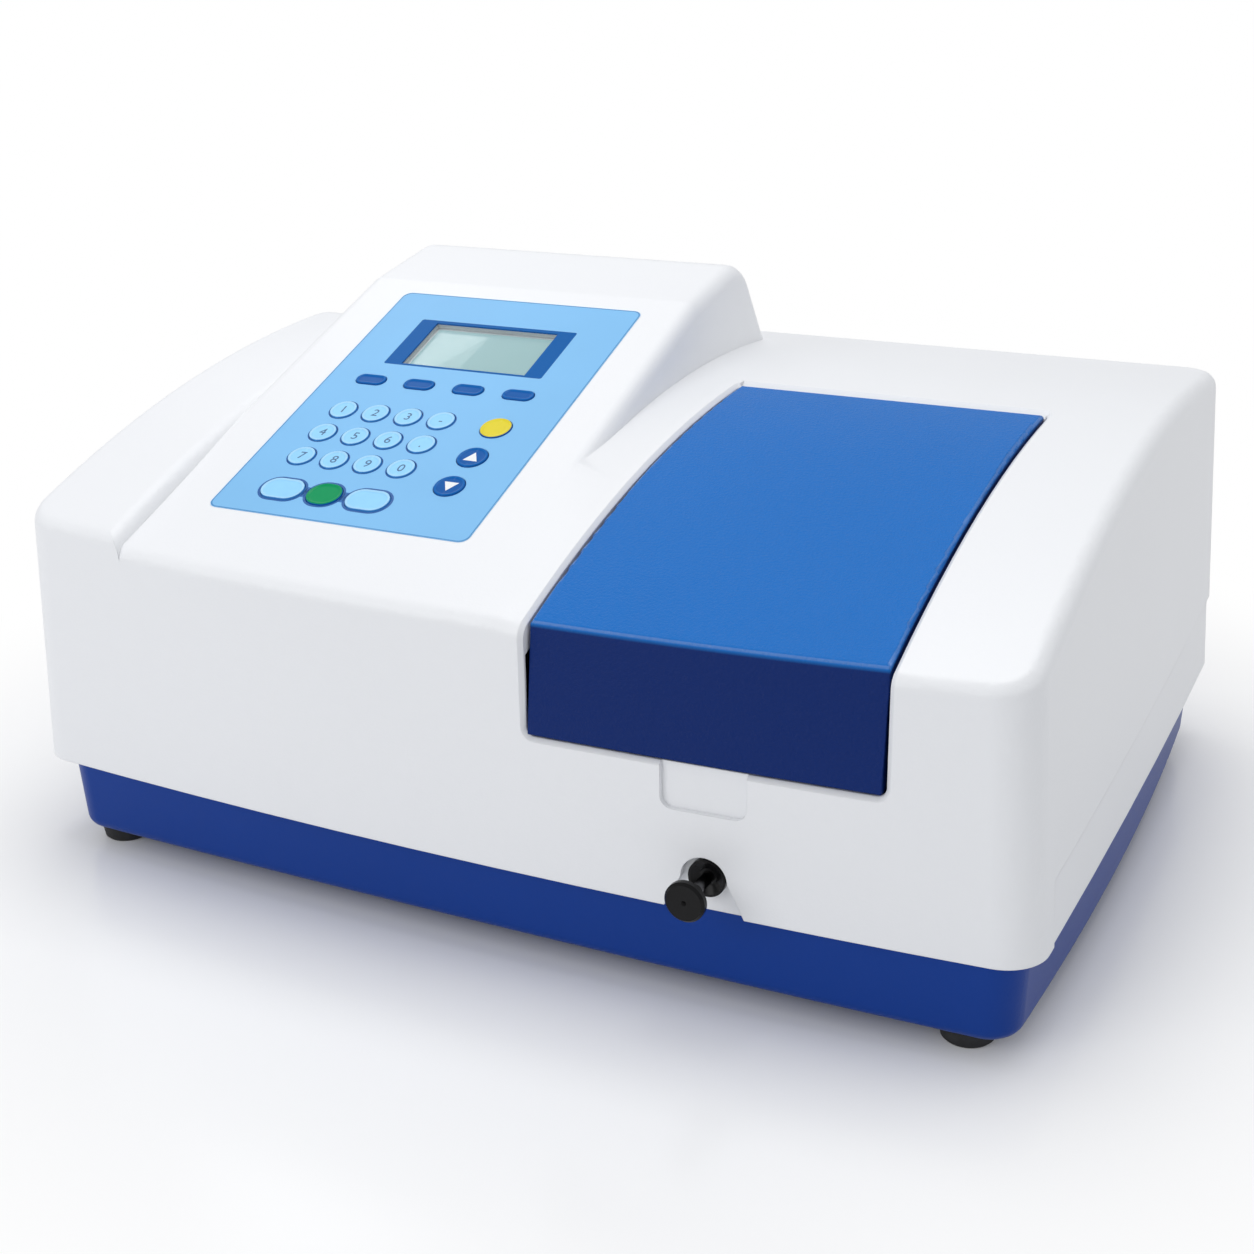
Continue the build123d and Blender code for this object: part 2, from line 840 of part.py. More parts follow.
def foot(x, y):
    """A turned rubber foot with a sunken screw hole."""
    side = Polyline((foot_bore, foot_counter_depth), (foot_counterbore, foot_counter_depth),
                    (foot_counterbore, 0), (foot_radius - foot_taper - foot_edge, 0),
                    (foot_radius - foot_taper, foot_edge),
                    (foot_radius, foot_height), (foot_bore, foot_height), close=True)
    turned = revolve(Plane.XZ * make_face(side), axis=Axis.Z)
    return Pos(x, y, 0) * turned


def pan_screw(x, y, z, length):
    """A pan-head screw that points upwards from z, the seat of its head."""
    shank = Pos(x, y, z + length / 2) * Cylinder(fixing_bore, length)
    head = Pos(x, y, z - screw_head_height / 2) * Cylinder(foot_counterbore - 2 * key_clearance,
                                                           screw_head_height)
    head = fillet(head.edges().sort_by(Axis.Z)[0], screw_head_round)
    return shank + head


# Sample lid and its hinge

def lid_walls(inset):
    """The cover's walls, with a front that leans back from the lid's lower edge."""
    level = cover_z + lid_front_rise
    lean = Pos(0, front, level) * Rot(-lid_front_lean, 0, 0) * Pos(0, -front, -level)
    return cover_walls(inset) & (lean * cover_walls(inset, below=reach))


def lid():
    skirt = Polyline(
        (front - reach, cover_z + lid_front_rise), (front + lid_skirt_run, cover_z + lid_front_rise),
        (front + lid_rear_run, cover_z + lid_skirt_rear_rise), (front + lid_rear_run, cover_z + block_top),
        (front - reach, cover_z + block_top), close=True)
    skirt = make_face(skirt)
    outer = lid_walls(0.0) & side_prism(deck_profile(0, 0.0), lid_left, lid_right)
    outer = outer & side_prism(skirt, lid_left, lid_right)
    outer = soften_top(outer, lid_edge_radius)
    inner = lid_walls(lid_wall) & side_prism(deck_profile(0, lid_wall), lid_left, lid_right)
    inner &= block(lid_left + lid_wall, lid_right - lid_wall, front - reach,
                   front + lid_rear_run - lid_wall, cover_z, cover_z + block_top)
    shell = outer - inner
    roof = side_prism(deck_profile(0, lid_wall - running), lid_left, lid_right)
    for x in lug_places():
        lug = rod((x, hinge_y, hinge_z), (1, 0, 0), lug_radius, lug_width)
        web = block(x, x + lug_width, hinge_y - lug_radius, hinge_y + lug_radius, hinge_z,
                    hinge_z + 2 * lug_radius)
        shell += (lug + web) & roof
    for x in lug_places():
        shell -= rod((x - margin, hinge_y, hinge_z), (1, 0, 0), hinge_pin_radius + hinge_clearance,
                     lug_width + 2 * margin)
    return shell


def lug_places():
    return [lid_left + lug_inset, lid_right - lug_inset - lug_width]


def ear_places():
    left = lid_left + lug_inset + lug_width + ear_gap
    right = lid_right - lug_inset - lug_width - ear_gap - ear_width
    return [left, right]


def hinge_rod():
    start = lid_left + lug_inset - hinge_rod_reach
    length = lid_width - 2 * (lug_inset - hinge_rod_reach)
    bar = rod((start, hinge_y, hinge_z), (1, 0, 0), hinge_pin_radius, length)
    return chamfer(bar.edges(), hinge_rod_end)


# Sample well with the rails, the carriage and its pull rod

def sample_well():
    roof = side_prism(deck_profile(0, lid_wall + well_roof_gap), lid_left, lid_right)
    well = block(well_left, well_right, well_front, well_rear, floor_z, cover_z + block_top) & roof
    well -= block(well_left + well_wall, well_right - well_wall, well_front + well_wall,
                  well_rear - well_wall, well_floor_z + well_wall, cover_z + block_top)
    well -= block(well_left + well_wall, well_right - well_wall, well_front + well_wall,
                  well_rear - well_wall, floor_z - margin, well_floor_z)
    well -= block(well_left - margin, well_right + margin, well_front - margin, well_front + well_wall,
                  cover_z + well_front_rise, cover_z + block_top)
    arm = hinge_y - well_rear + well_wall / 2
    ear = Circle(ear_radius) + Pos(-arm / 2, 0) * Rectangle(arm, 2 * ear_radius)
    ear -= Circle(hinge_pin_radius)
    for x in ear_places():
        well += side_prism(Pos(hinge_y, hinge_z) * ear, x, x + ear_width)
    well -= rod((rod_x, well_front - margin, rod_z), (0, 1, 0), bush_radius + bush_fit,
                well_wall + 2 * margin)
    well -= rod((well_left - margin, beam_y, beam_z), (1, 0, 0), lens_radius,
                well_right - well_left + 2 * margin)
    return well


def rail_places():
    return [rod_x - rail_spacing / 2, rod_x + rail_spacing / 2]


def carriage_rails():
    start = well_front + well_wall
    length = well_rear - well_front - 2 * well_wall
    return [rod((x, start, rail_z), (0, 1, 0), rail_radius, length) for x in rail_places()]


def cell_carriage():
    x0 = rod_x - cell_block_width / 2
    x1 = rod_x + cell_block_width / 2
    y0 = cell_block_front
    y1 = y0 + cell_block_length
    holder = block(x0, x1, y0, y1, sled_bottom_z, cell_block_top)
    holder = chamfer(holder.edges().group_by(Axis.Z)[-1], block_chamfer)
    sled = block(rod_x - sled_width / 2, rod_x + sled_width / 2, y0, y1, sled_bottom_z, sled_top_z)
    sled = fillet(sled.edges().filter_by(Axis.Z), sled_corner)
    carriage = holder + sled
    half = cell_size / 2
    for index in range(cell_count):
        y = beam_y + index * cell_pitch
        carriage -= block(rod_x - half, rod_x + half, y - half, y + half, cell_floor_z,
                          cell_block_top + margin)
        carriage -= block(x0 - margin, x1 + margin, y - beam_window / 2, y + beam_window / 2,
                          beam_z - beam_window_height / 2, beam_z + beam_window_height / 2)
    for x in rail_places():
        carriage -= rod((x, y0 - margin, rail_z), (0, 1, 0), rail_radius + running,
                        cell_block_length + 2 * margin)
    carriage -= rod((rod_x, y0 - margin, rod_z), (0, 1, 0), rod_radius, cell_end_wall + margin)
    return carriage


def pull_rod():
    start = knob_face + knob_thickness
    return rod((rod_x, start, rod_z), (0, 1, 0), rod_radius, cell_block_front + cell_end_wall - start)


def turned_along_y(points, x, y, z):
    """A shape turned from its half outline, given as distance along +Y and radius."""
    outline = make_face(Polyline(*points, close=True))
    solid = revolve(outline, axis=Axis.X)
    return Pos(x, y, z) * (Rot(0, 0, 90) * solid)


def pull_knob():
    back = knob_thickness
    waist = knob_neck_radius - knob_waist
    points = [(0, knob_radius - knob_edge), (0, knob_dimple), (knob_dimple_depth, 0), (back, 0),
              (back, rod_radius), (back + knob_neck, rod_radius), (back + knob_neck, waist),
              (back + knob_neck / 2, waist), (back, knob_neck_radius),
              (back, knob_radius - knob_back_edge), (back - knob_back_edge, knob_radius),
              (knob_edge, knob_radius)]
    return turned_along_y(points, rod_x, knob_face, rod_z)


def rod_bush():
    bore = rod_radius + running
    points = [(0, bush_flange_radius), (0, bush_cup_radius), (bush_cup_depth, bore + bush_mouth),
              (bush_cup_depth, bore), (bush_length, bore), (bush_length, bush_radius),
              (bush_flange, bush_radius), (bush_flange, bush_flange_radius)]
    return turned_along_y(points, rod_x, front + bush_run, rod_z)


# Keypad: overlay sheet, keys, frame and board, all in the plane of the console

def key_list():
    """Name, place and size of every key on the overlay."""
    keys = []
    for index, mark in enumerate("1 2 3 minus 4 5 6 point 7 8 9 0".split()):
        u = number_first_u + index % number_columns * number_pitch_u
        v = number_first_v - index // number_columns * number_pitch_v
        keys.append((f"key_{mark}", u, v, number_key, number_key))
    for index in range(number_columns):
        u = soft_first_u + index * soft_pitch_u
        keys.append((f"soft_key_{index + 1}", u, soft_v, soft_key_width, soft_key_height))
    keys.append(("menu_key", side_key_u, menu_key_v, menu_key_size, menu_key_size))
    keys.append(("up_key", side_key_u, up_key_v, side_key, side_key))
    keys.append(("down_key", side_key_u, down_key_v, side_key, side_key))
    keys.append(("clear_key", oval_left_u, bottom_row_v, oval_key_width, oval_key_height))
    keys.append(("start_key", start_key_u, bottom_row_v, start_key_width, start_key_height))
    keys.append(("stop_key", oval_right_u, bottom_row_v, oval_key_width, oval_key_height))
    return keys


def key_plan(u, v, width, height, grow):
    if width == height:
        return Pos(u, v) * Circle(width / 2 + grow)
    return Pos(u, v) * SlotOverall(width + 2 * grow, height + 2 * grow)


def all_keys(grow):
    plans = Sketch()
    for name, u, v, width, height in key_list():
        plans += key_plan(u, v, width, height, grow)
    return plans


def key_cap(u, v, width, height):
    head = extrude(panel * Pos(0, 0, key_base) * key_plan(u, v, width, height, 0.0),
                   amount=key_proud - key_base)
    top = head.faces().sort_by(Axis((0, 0, 0), panel_normal))[-1]
    head = fillet(top.edges(), key_edge)
    flange = extrude(panel * Pos(0, 0, key_base) * key_plan(u, v, width, height, key_flange),
                     amount=key_flange_thick)
    post = extrude(panel * Pos(u, v, key_base) * Circle(key_post_radius), amount=-key_post)
    return head + flange + post


def bezel_plan(grow):
    return Pos(bezel_u, bezel_v) * RectangleRounded(
        bezel_width + 2 * grow, bezel_height + 2 * grow, bezel_corner + grow
    )


def window_plan(grow):
    return Pos(bezel_u, window_v) * Rectangle(window_width + 2 * grow, window_height + 2 * grow)


def keypad_overlay():
    sheet = overlay_plan(0.0) - all_keys(key_clearance) - bezel_plan(0.0)
    return extrude(panel * Pos(0, 0, -panel_recess) * sheet, amount=panel_sheet)


def display_bezel():
    ring = bezel_plan(0.0) - window_plan(0.0)
    return extrude(panel * Pos(0, 0, -panel_recess) * ring, amount=panel_sheet)


def display_window():
    level = panel_sheet - panel_recess - window_recess
    return extrude(panel * Pos(0, 0, level) * window_plan(0.0), amount=-window_thick)


def lcd_module():
    return extrude(panel * Pos(0, 0, -lcd_depth) * window_plan(lcd_border / 2), amount=-lcd_thick)


def standoff_places():
    u = panel_width / 2 - panel_rim - frame_flange
    v = panel_length / 2 - panel_rim - frame_flange
    return [(side * u, end * v) for side in (-1, 1) for end in (-1, 0, 1)]


def key_frame():
    """The moulded frame that guides the keys and holds the display."""
    shape = extrude(panel * Pos(0, 0, frame_bottom) * overlay_plan(panel_rim + frame_fit),
                    amount=frame_top - frame_bottom)
    flange = extrude(panel * Pos(0, 0, frame_bottom) * overlay_plan(panel_rim - frame_flange),
                     amount=frame_flange_thick)
    shape += flange
    shape -= extrude(panel * Pos(0, 0, frame_bottom - margin) * all_keys(key_clearance), amount=reach)
    shape -= extrude(panel * Pos(0, 0, -lcd_depth) * window_plan(lcd_border / 2), amount=-reach)
    shape -= extrude(panel * Pos(0, 0, -lcd_depth - margin) * window_plan(0.0), amount=reach)
    for u, v in standoff_places():
        shape += extrude(panel * Pos(u, v, frame_bottom) * Circle(standoff_radius), amount=-board_gap)
    return shape


def key_board():
    """Circuit board with a switch dome under each key."""
    board = extrude(panel * Pos(0, 0, board_top) * overlay_plan(panel_rim - frame_flange),
                    amount=-board_thick)
    dome_top = key_base - key_post - key_travel - flange_gap
    for name, u, v, width, height in key_list():
        board += extrude(panel * Pos(u, v, board_top) * Circle(dome_radius),
                         amount=dome_top - board_top)
    return board


# Rear panel, inlet, switch, port and fan

def rear_slab(x, z, width, height, y0, y1, corner=0.0):
    """A rectangle seen from behind, made solid from y0 to y1."""
    plan = RectangleRounded(width, height, corner) if corner else Rectangle(width, height)
    return extrude(Plane.XZ.offset(-y1) * (Pos(x, z) * plan), amount=y1 - y0)


def fan_grille():
    """Rings of slots in front of the fan, left on three webs."""
    tools = Sketch()
    for ring in range(grille_rings):
        radius = (ring + 1) * grille_pitch
        tools += Circle(radius + grille_slot / 2) - Circle(radius - grille_slot / 2)
    for turn in (0, 60, 120):
        tools -= Rot(0, 0, turn) * Rectangle(2 * fan_size, grille_web)
    return extrude(Plane.XZ.offset(-rear) * (Pos(fan_x, fan_z) * tools), amount=2 * reach)


def rear_panel():
    width = rear_panel_right - rear_panel_left + rear_rim
    height = rear_panel_high - rear_panel_low + rear_rim
    centre_x = (rear_panel_left + rear_panel_right) / 2
    centre_z = (rear_panel_low + rear_panel_high) / 2
    y0 = panel_y_rear - rear_panel_thick
    plate = rear_slab(centre_x, centre_z, width, height, y0, panel_y_rear, rear_opening_corner)
    plate -= fan_grille()
    cuts = [
        (inlet_x, inlet_z, inlet_width - 2 * inlet_body_inset, inlet_height - 2 * inlet_body_inset),
        (switch_x, switch_z, switch_width - 2 * switch_body_inset,
         switch_height - 2 * switch_body_inset),
        (port_x, port_z, port_shell_width, port_shell_height),
    ]
    for x, z, wide, tall in cuts:
        plate -= rear_slab(x, z, wide + 2 * panel_hole_fit, tall + 2 * panel_hole_fit, y0 - margin,
                           panel_y_rear + margin)
    return plate


def power_inlet():
    """Three-pin appliance inlet with a fuse drawer above it."""
    face = panel_y_rear + inlet_flange
    body = rear_slab(inlet_x, inlet_z, inlet_width - 2 * inlet_body_inset,
                     inlet_height - 2 * inlet_body_inset, panel_y_rear - inlet_depth, panel_y_rear)
    flange = rear_slab(inlet_x, inlet_z, inlet_width, inlet_height, panel_y_rear, face, inlet_corner)
    socket_z = inlet_z - inlet_fuse_height / 2
    inlet = body + flange
    mouth = Pos(inlet_x, socket_z) * Rectangle(inlet_cavity_width, inlet_cavity_height)
    mouth = chamfer(mouth.vertices().group_by(Axis.Y)[-1], inlet_mouth_chamfer)
    inlet -= extrude(Plane.XZ.offset(-face) * mouth, amount=inlet_cavity_depth)
    floor = face - inlet_cavity_depth
    for step, lift in ((-1, 0), (0, 1), (1, 0)):
        inlet += rear_slab(inlet_x + step * inlet_pin_pitch, socket_z + (lift - 0.5) * inlet_pin_height,
                           inlet_pin_width, inlet_pin_height, floor - margin, face - inlet_pin_setback)
    drawer_z = inlet_z + inlet_height / 2 - inlet_fuse_height / 2
    width = inlet_width - 2 * drawer_inset_x
    height = inlet_fuse_height - 2 * drawer_inset_z
    groove = rear_slab(inlet_x, drawer_z, width, height, face - drawer_groove, face + margin)
    front_plate = rear_slab(inlet_x, drawer_z, width - 2 * drawer_groove, height - 2 * drawer_groove,
                            face - inlet_flange, face + inlet_flange)
    return inlet - (groove - front_plate)


def switch_housing():
    face = panel_y_rear + switch_flange
    body = rear_slab(switch_x, switch_z, switch_width - 2 * switch_body_inset,
                     switch_height - 2 * switch_body_inset, panel_y_rear - switch_depth, panel_y_rear)
    flange = rear_slab(switch_x, switch_z, switch_width, switch_height, panel_y_rear, face,
                       switch_corner)
    housing = body + flange
    housing -= rear_slab(switch_x, switch_z, rocker_width + 2 * rocker_gap,
                         rocker_height + 2 * rocker_gap, panel_y_rear - switch_depth / 2, face + margin)
    pin_y = face - switch_depth / 4
    return housing + rod((switch_x - switch_width / 2 + switch_body_inset + running, pin_y, switch_z),
                         (1, 0, 0), rocker_pin, switch_width - 2 * switch_body_inset - 2 * running)


def switch_rocker():
    """The rocker in its off position, tipped about the housing's pin."""
    face = panel_y_rear + switch_flange
    pin_y = face - switch_depth / 4
    half = rocker_height / 2 - rocker_end_gap
    low = -rocker_pin - rocker_skirt
    side = Polyline((-half + rocker_taper, low), (half - rocker_taper, low), (half, rocker_shoulder),
                    (half, rocker_crest), (0, rocker_dip), (-half, rocker_crest),
                    (-half, rocker_shoulder), close=True)
    shape = extrude(Plane.YZ * make_face(side), amount=rocker_width / 2, both=True)
    shape -= rod((-rocker_width, 0, 0), (1, 0, 0), rocker_pin + running, 2 * rocker_width)
    return Pos(switch_x, pin_y, switch_z) * (Rot(-90 + rocker_tilt, 0, 0) * shape)


def data_port():
    """Nine-pole socket with its metal shell."""
    y0 = panel_y_rear - rear_panel_thick
    shell = rear_slab(port_x, port_z, port_shell_width, port_shell_height, y0,
                      y0 + port_shell_depth, port_shell_corner)
    body = rear_slab(port_x, port_z, port_width, port_height, y0 - port_depth, y0, port_corner)
    port = shell + body
    for row, count in port_rows:
        for index in range(count):
            x = port_x + (index - (count - 1) / 2) * pole_pitch
            port -= rod((x, y0 + port_shell_depth + margin, port_z + row * pole_row), (0, -1, 0),
                        pole_radius, pole_depth + margin)
    return port


def fan_housing():
    y1 = panel_y_rear - rear_panel_thick
    y0 = y1 - fan_depth
    frame = rear_slab(fan_x, fan_z, fan_size, fan_size, y0, y1, fan_corner)
    frame -= rod((fan_x, y0 - margin, fan_z), (0, 1, 0), fan_bore, fan_depth + 2 * margin)
    for turn in (45, 135):
        strut = Rot(0, turn, 0) * Box(2 * fan_bore + fan_strut / 2, fan_strut_thick, fan_strut)
        frame += Pos(fan_x, y0 + fan_strut_thick / 2, fan_z) * strut
    frame += rod((fan_x, y0, fan_z), (0, 1, 0), fan_hub / 2, fan_depth / 2)
    return frame


def fan_rotor():
    """Hub with pitched blades, turning about the housing's stub."""
    y1 = panel_y_rear - rear_panel_thick
    y0 = y1 - fan_depth + fan_end_gap
    tip = fan_bore - fan_tip_gap
    root = fan_hub - blade_root
    hub = rod((fan_x, y0, fan_z), (0, 1, 0), fan_hub, fan_rotor_depth)
    blade = Rot(blade_pitch, 0, 0) * Box(tip - root, fan_blade_thick, blade_depth)
    blade = Pos((root + tip) / 2, 0, 0) * blade
    ring = rod((fan_x, y0, fan_z), (0, 1, 0), tip, fan_rotor_depth)
    rotor = hub
    for index in range(fan_blades):
        rotor += Pos(fan_x, y0 + fan_rotor_depth / 2, fan_z) * (
            Rot(0, index * 360 / fan_blades, 0) * (Rot(90, 0, 0) * blade)
        )
    rotor &= ring
    bore = rod((fan_x, y0 - margin, fan_z), (0, 1, 0), fan_hub / 2 + running, fan_depth / 2 - margin)
    return rotor - bore


# Optics and electronics inside the body

def optics_housing():
    """Cast box of the monochromator, with a port that meets the sample well."""
    box_right = well_left - optics_plate
    solid = block(optics_left, box_right, front + optics_front_run, front + optics_rear_run, floor_z,
                  floor_z + optics_height)
    solid = fillet(solid.edges().filter_by(Axis.Z), optics_corner)
    solid -= block(optics_left + optics_wall, box_right - optics_wall,
                   front + optics_front_run + optics_wall, front + optics_rear_run - optics_wall,
                   floor_z + optics_wall, floor_z + optics_height + margin)
    port = rod((box_right - optics_wall / 2, beam_y, beam_z), (1, 0, 0), optics_port_radius,
               well_left - box_right + optics_wall / 2)
    solid += port
    return solid - rod((box_right - 2 * optics_wall, beam_y, beam_z), (1, 0, 0), beam_window / 2,
                       3 * optics_wall)


def optics_plate_cover():
    box_right = well_left - optics_plate
    z0 = floor_z + optics_height
    plate = block(optics_left, box_right, front + optics_front_run, front + optics_rear_run, z0,
                  z0 + optics_plate)
    return fillet(plate.edges().filter_by(Axis.Z), optics_corner)


def beam_lens(x, outward):
    """A lens in the well's side wall, domed towards the cells."""
    curve = (lens_radius ** 2 + lens_sag ** 2) / (2 * lens_sag)
    middle = (lens_radius / 2, lens_sag - curve + sqrt(curve ** 2 - lens_radius ** 2 / 4))
    half = make_face([
        Polyline((0, lens_sag), (0, -lens_edge), (lens_radius, -lens_edge), (lens_radius, 0)),
        ThreePointArc((lens_radius, 0), middle, (0, lens_sag)),
    ])
    lens = revolve(half, axis=Axis.Y)
    return Pos(x, beam_y, beam_z) * (Rot(0, 0, 90 if outward < 0 else -90) * lens)


def lamp_housing():
    """Folded sheet box with cooling slots, open at the top."""
    y0 = front + lamp_front_run
    y1 = front + lamp_rear_run
    box = block(lamp_left, lamp_right, y0, y1, floor_z, floor_z + lamp_height)
    box -= block(lamp_left + lamp_wall, lamp_right - lamp_wall, y0 + lamp_wall, y1 - lamp_wall,
                 floor_z + lamp_wall, floor_z + lamp_height + margin)
    count = int((y1 - y0) / lamp_slot_pitch) - 1
    for index in range(count):
        y = y0 + (index + 1) * lamp_slot_pitch
        box -= block(lamp_left - margin, lamp_right + margin, y, y + lamp_slot, floor_z + lamp_height / 2,
                     floor_z + lamp_height - lamp_slot)
    return box


def lamp(run, bulb_radius):
    """A lamp capsule on its ceramic base."""
    x = (lamp_left + lamp_right) / 2
    y = front + run
    z = floor_z + lamp_wall
    base = Pos(x, y, z + lamp_base_height / 2) * Cylinder(lamp_radius, lamp_base_height)
    bulb = Pos(x, y, z + lamp_base_height + lamp_bulb_height / 2) * Cylinder(bulb_radius,
                                                                          lamp_bulb_height)
    bulb = fillet(bulb.edges().sort_by(Axis.Z)[-1], bulb_radius * lamp_bulb_round)
    return base + bulb


def detector_housing():
    box = block(well_right, well_right + detector_width, beam_y - detector_length / 2,
                beam_y + detector_length / 2, floor_z, floor_z + detector_height)
    box = fillet(box.edges().filter_by(Axis.Z).sort_by(Axis.X)[2:], detector_corner)
    return box - rod((well_right - margin, beam_y, beam_z), (1, 0, 0), lens_radius - margin,
                     detector_width / 2)


def main_board():
    z = floor_z + board_level
    y0 = front + board_front_run
    y1 = front + board_rear_run
    board = block(board_left, board_right, y0, y1, z, z + board_thick)
    columns = int((board_right - board_left) / chip_pitch)
    for column in range(columns):
        x = board_left + (column + 0.5) * chip_pitch
        board += block(x - chip_size / 2, x + chip_size / 2, mid_y + 2 * chip_pitch,
                       mid_y + 2 * chip_pitch + chip_size, z + board_thick, z + board_thick + chip_thick)
    for x in (board_left + standoff_radius, board_right - standoff_radius):
        for y in (y0 + standoff_radius, y1 - standoff_radius):
            board += Pos(x, y, floor_z + board_level / 2) * Cylinder(standoff_radius, board_level)
    return board


def power_supply():
    box = block(supply_left, supply_right, front + board_front_run, front + supply_rear_run, floor_z,
                floor_z + supply_height)
    box = fillet(box.edges().filter_by(Axis.Z), supply_corner)
    rows = int((supply_right - supply_left) / chip_pitch)
    for index in range(rows):
        x = supply_left + (index + 0.5) * chip_pitch
        slot = Pos(x, front + (board_front_run + supply_rear_run) / 2) * SlotOverall(
            chip_pitch, vent_width, rotation=90
        )
        box -= extrude(Pos(0, 0, floor_z + supply_height - supply_slot_depth) * slot, amount=supply_height)
    return box


# Every node of the assembly

nodes = {
    "top_cover": top_cover(),
    "base_tray": base_tray(),
    "foot_screws": [pan_screw(x, y, foot_counter_depth, foot_screw_length) for x, y in foot_places()],
    "cover_screws": [
        pan_screw(x, y, cover_z + fixing_level + fixing_depth - cover_wall - fixing_screw, fixing_screw)
        for x, y in fixing_places()
    ],
    "lid": lid(),
    "lid_hinge_rod": hinge_rod(),
    "sample_well": sample_well(),
    "carriage_rails": carriage_rails(),
    "cell_carriage": cell_carriage(),
    "pull_rod": pull_rod(),
    "pull_knob": pull_knob(),
    "rod_bush": rod_bush(),
    "beam_lenses": [beam_lens(well_left + well_wall, -1), beam_lens(well_right - well_wall, 1)],
    "keypad_overlay": keypad_overlay(),
    "display_bezel": display_bezel(),
    "display_window": display_window(),
    "lcd_module": lcd_module(),
    "key_frame": key_frame(),
    "key_board": key_board(),
    "rear_panel": rear_panel(),
    "power_inlet": power_inlet(),
    "switch_housing": switch_housing(),
    "switch_rocker": switch_rocker(),
    "data_port": data_port(),
    "fan_housing": fan_housing(),
    "fan_rotor": fan_rotor(),
    "optics_housing": optics_housing(),
    "optics_cover": optics_plate_cover(),
    "lamp_housing": lamp_housing(),
    "halogen_lamp": lamp(lamp_front_run + halogen_run, halogen_radius),
    "deuterium_lamp": lamp(lamp_front_run + deuterium_run, deuterium_radius),
    "detector_housing": detector_housing(),
    "main_board": main_board(),
    "power_supply": power_supply(),
}
for place, (x, y) in zip(("front_left", "front_right", "rear_left", "rear_right"), foot_places()):
    nodes[f"foot_{place}"] = foot(x, y)
for name, u, v, width, height in key_list():
    nodes[name] = key_cap(u, v, width, height)

os.makedirs("parts", exist_ok=True)
for name, shape in nodes.items():
    solids = shape if isinstance(shape, list) else [shape]
    export_step(solids[0] if len(solids) == 1 else Compound(children=solids), f"parts/{name}.step")
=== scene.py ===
"""Looks of a bench spectrophotometer, in metres and in the frame of its CAD model: -Y is its front."""
import json
from math import cos, pi, radians, sin

import bmesh
import bpy
from mathutils import Matrix, Vector

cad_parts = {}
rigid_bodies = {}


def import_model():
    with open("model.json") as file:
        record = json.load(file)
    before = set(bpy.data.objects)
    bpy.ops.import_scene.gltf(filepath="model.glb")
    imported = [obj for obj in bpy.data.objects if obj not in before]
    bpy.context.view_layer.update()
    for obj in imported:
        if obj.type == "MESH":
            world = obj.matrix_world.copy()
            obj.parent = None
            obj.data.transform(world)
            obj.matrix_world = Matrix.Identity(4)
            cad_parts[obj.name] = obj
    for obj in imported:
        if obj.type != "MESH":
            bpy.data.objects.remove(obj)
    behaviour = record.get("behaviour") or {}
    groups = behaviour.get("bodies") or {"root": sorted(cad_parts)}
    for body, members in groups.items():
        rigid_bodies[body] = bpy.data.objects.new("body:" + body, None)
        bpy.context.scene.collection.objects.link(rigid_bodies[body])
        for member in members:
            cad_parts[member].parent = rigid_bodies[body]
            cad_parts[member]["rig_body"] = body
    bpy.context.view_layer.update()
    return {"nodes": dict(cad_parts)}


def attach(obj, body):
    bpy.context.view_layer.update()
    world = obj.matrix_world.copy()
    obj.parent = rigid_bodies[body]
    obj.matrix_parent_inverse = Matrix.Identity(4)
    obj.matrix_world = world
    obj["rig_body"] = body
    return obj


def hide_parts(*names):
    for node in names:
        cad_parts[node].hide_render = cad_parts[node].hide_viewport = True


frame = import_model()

# Base tray: one deep tray moulded in blue ABS with a fine spark-eroded grain.
# Its rounded lower edge and drafted sides are those of the CAD solid, shaded smooth.
BASE_BLUE = (0.004, 0.042, 0.265, 1)
BASE_GRAIN = 0.0009


def open_material(material):
    """The Principled shader of a material, and a short way to add and to join its nodes."""
    tree = material.node_tree

    def add(kind, **settings):
        node = tree.nodes.new(kind)
        for key, value in settings.items():
            if hasattr(node, key):
                setattr(node, key, value)
            else:
                node.inputs[key.replace("_", " ")].default_value = value
        return node

    return tree.nodes["Principled BSDF"], add, tree.links.new


def new_material(name):
    material = bpy.data.materials.new(name)
    material.use_nodes = True
    return material, *open_material(material)


def tint(colour, factor):
    return tuple(min(1.0, channel * factor) for channel in colour[:3]) + (1,)


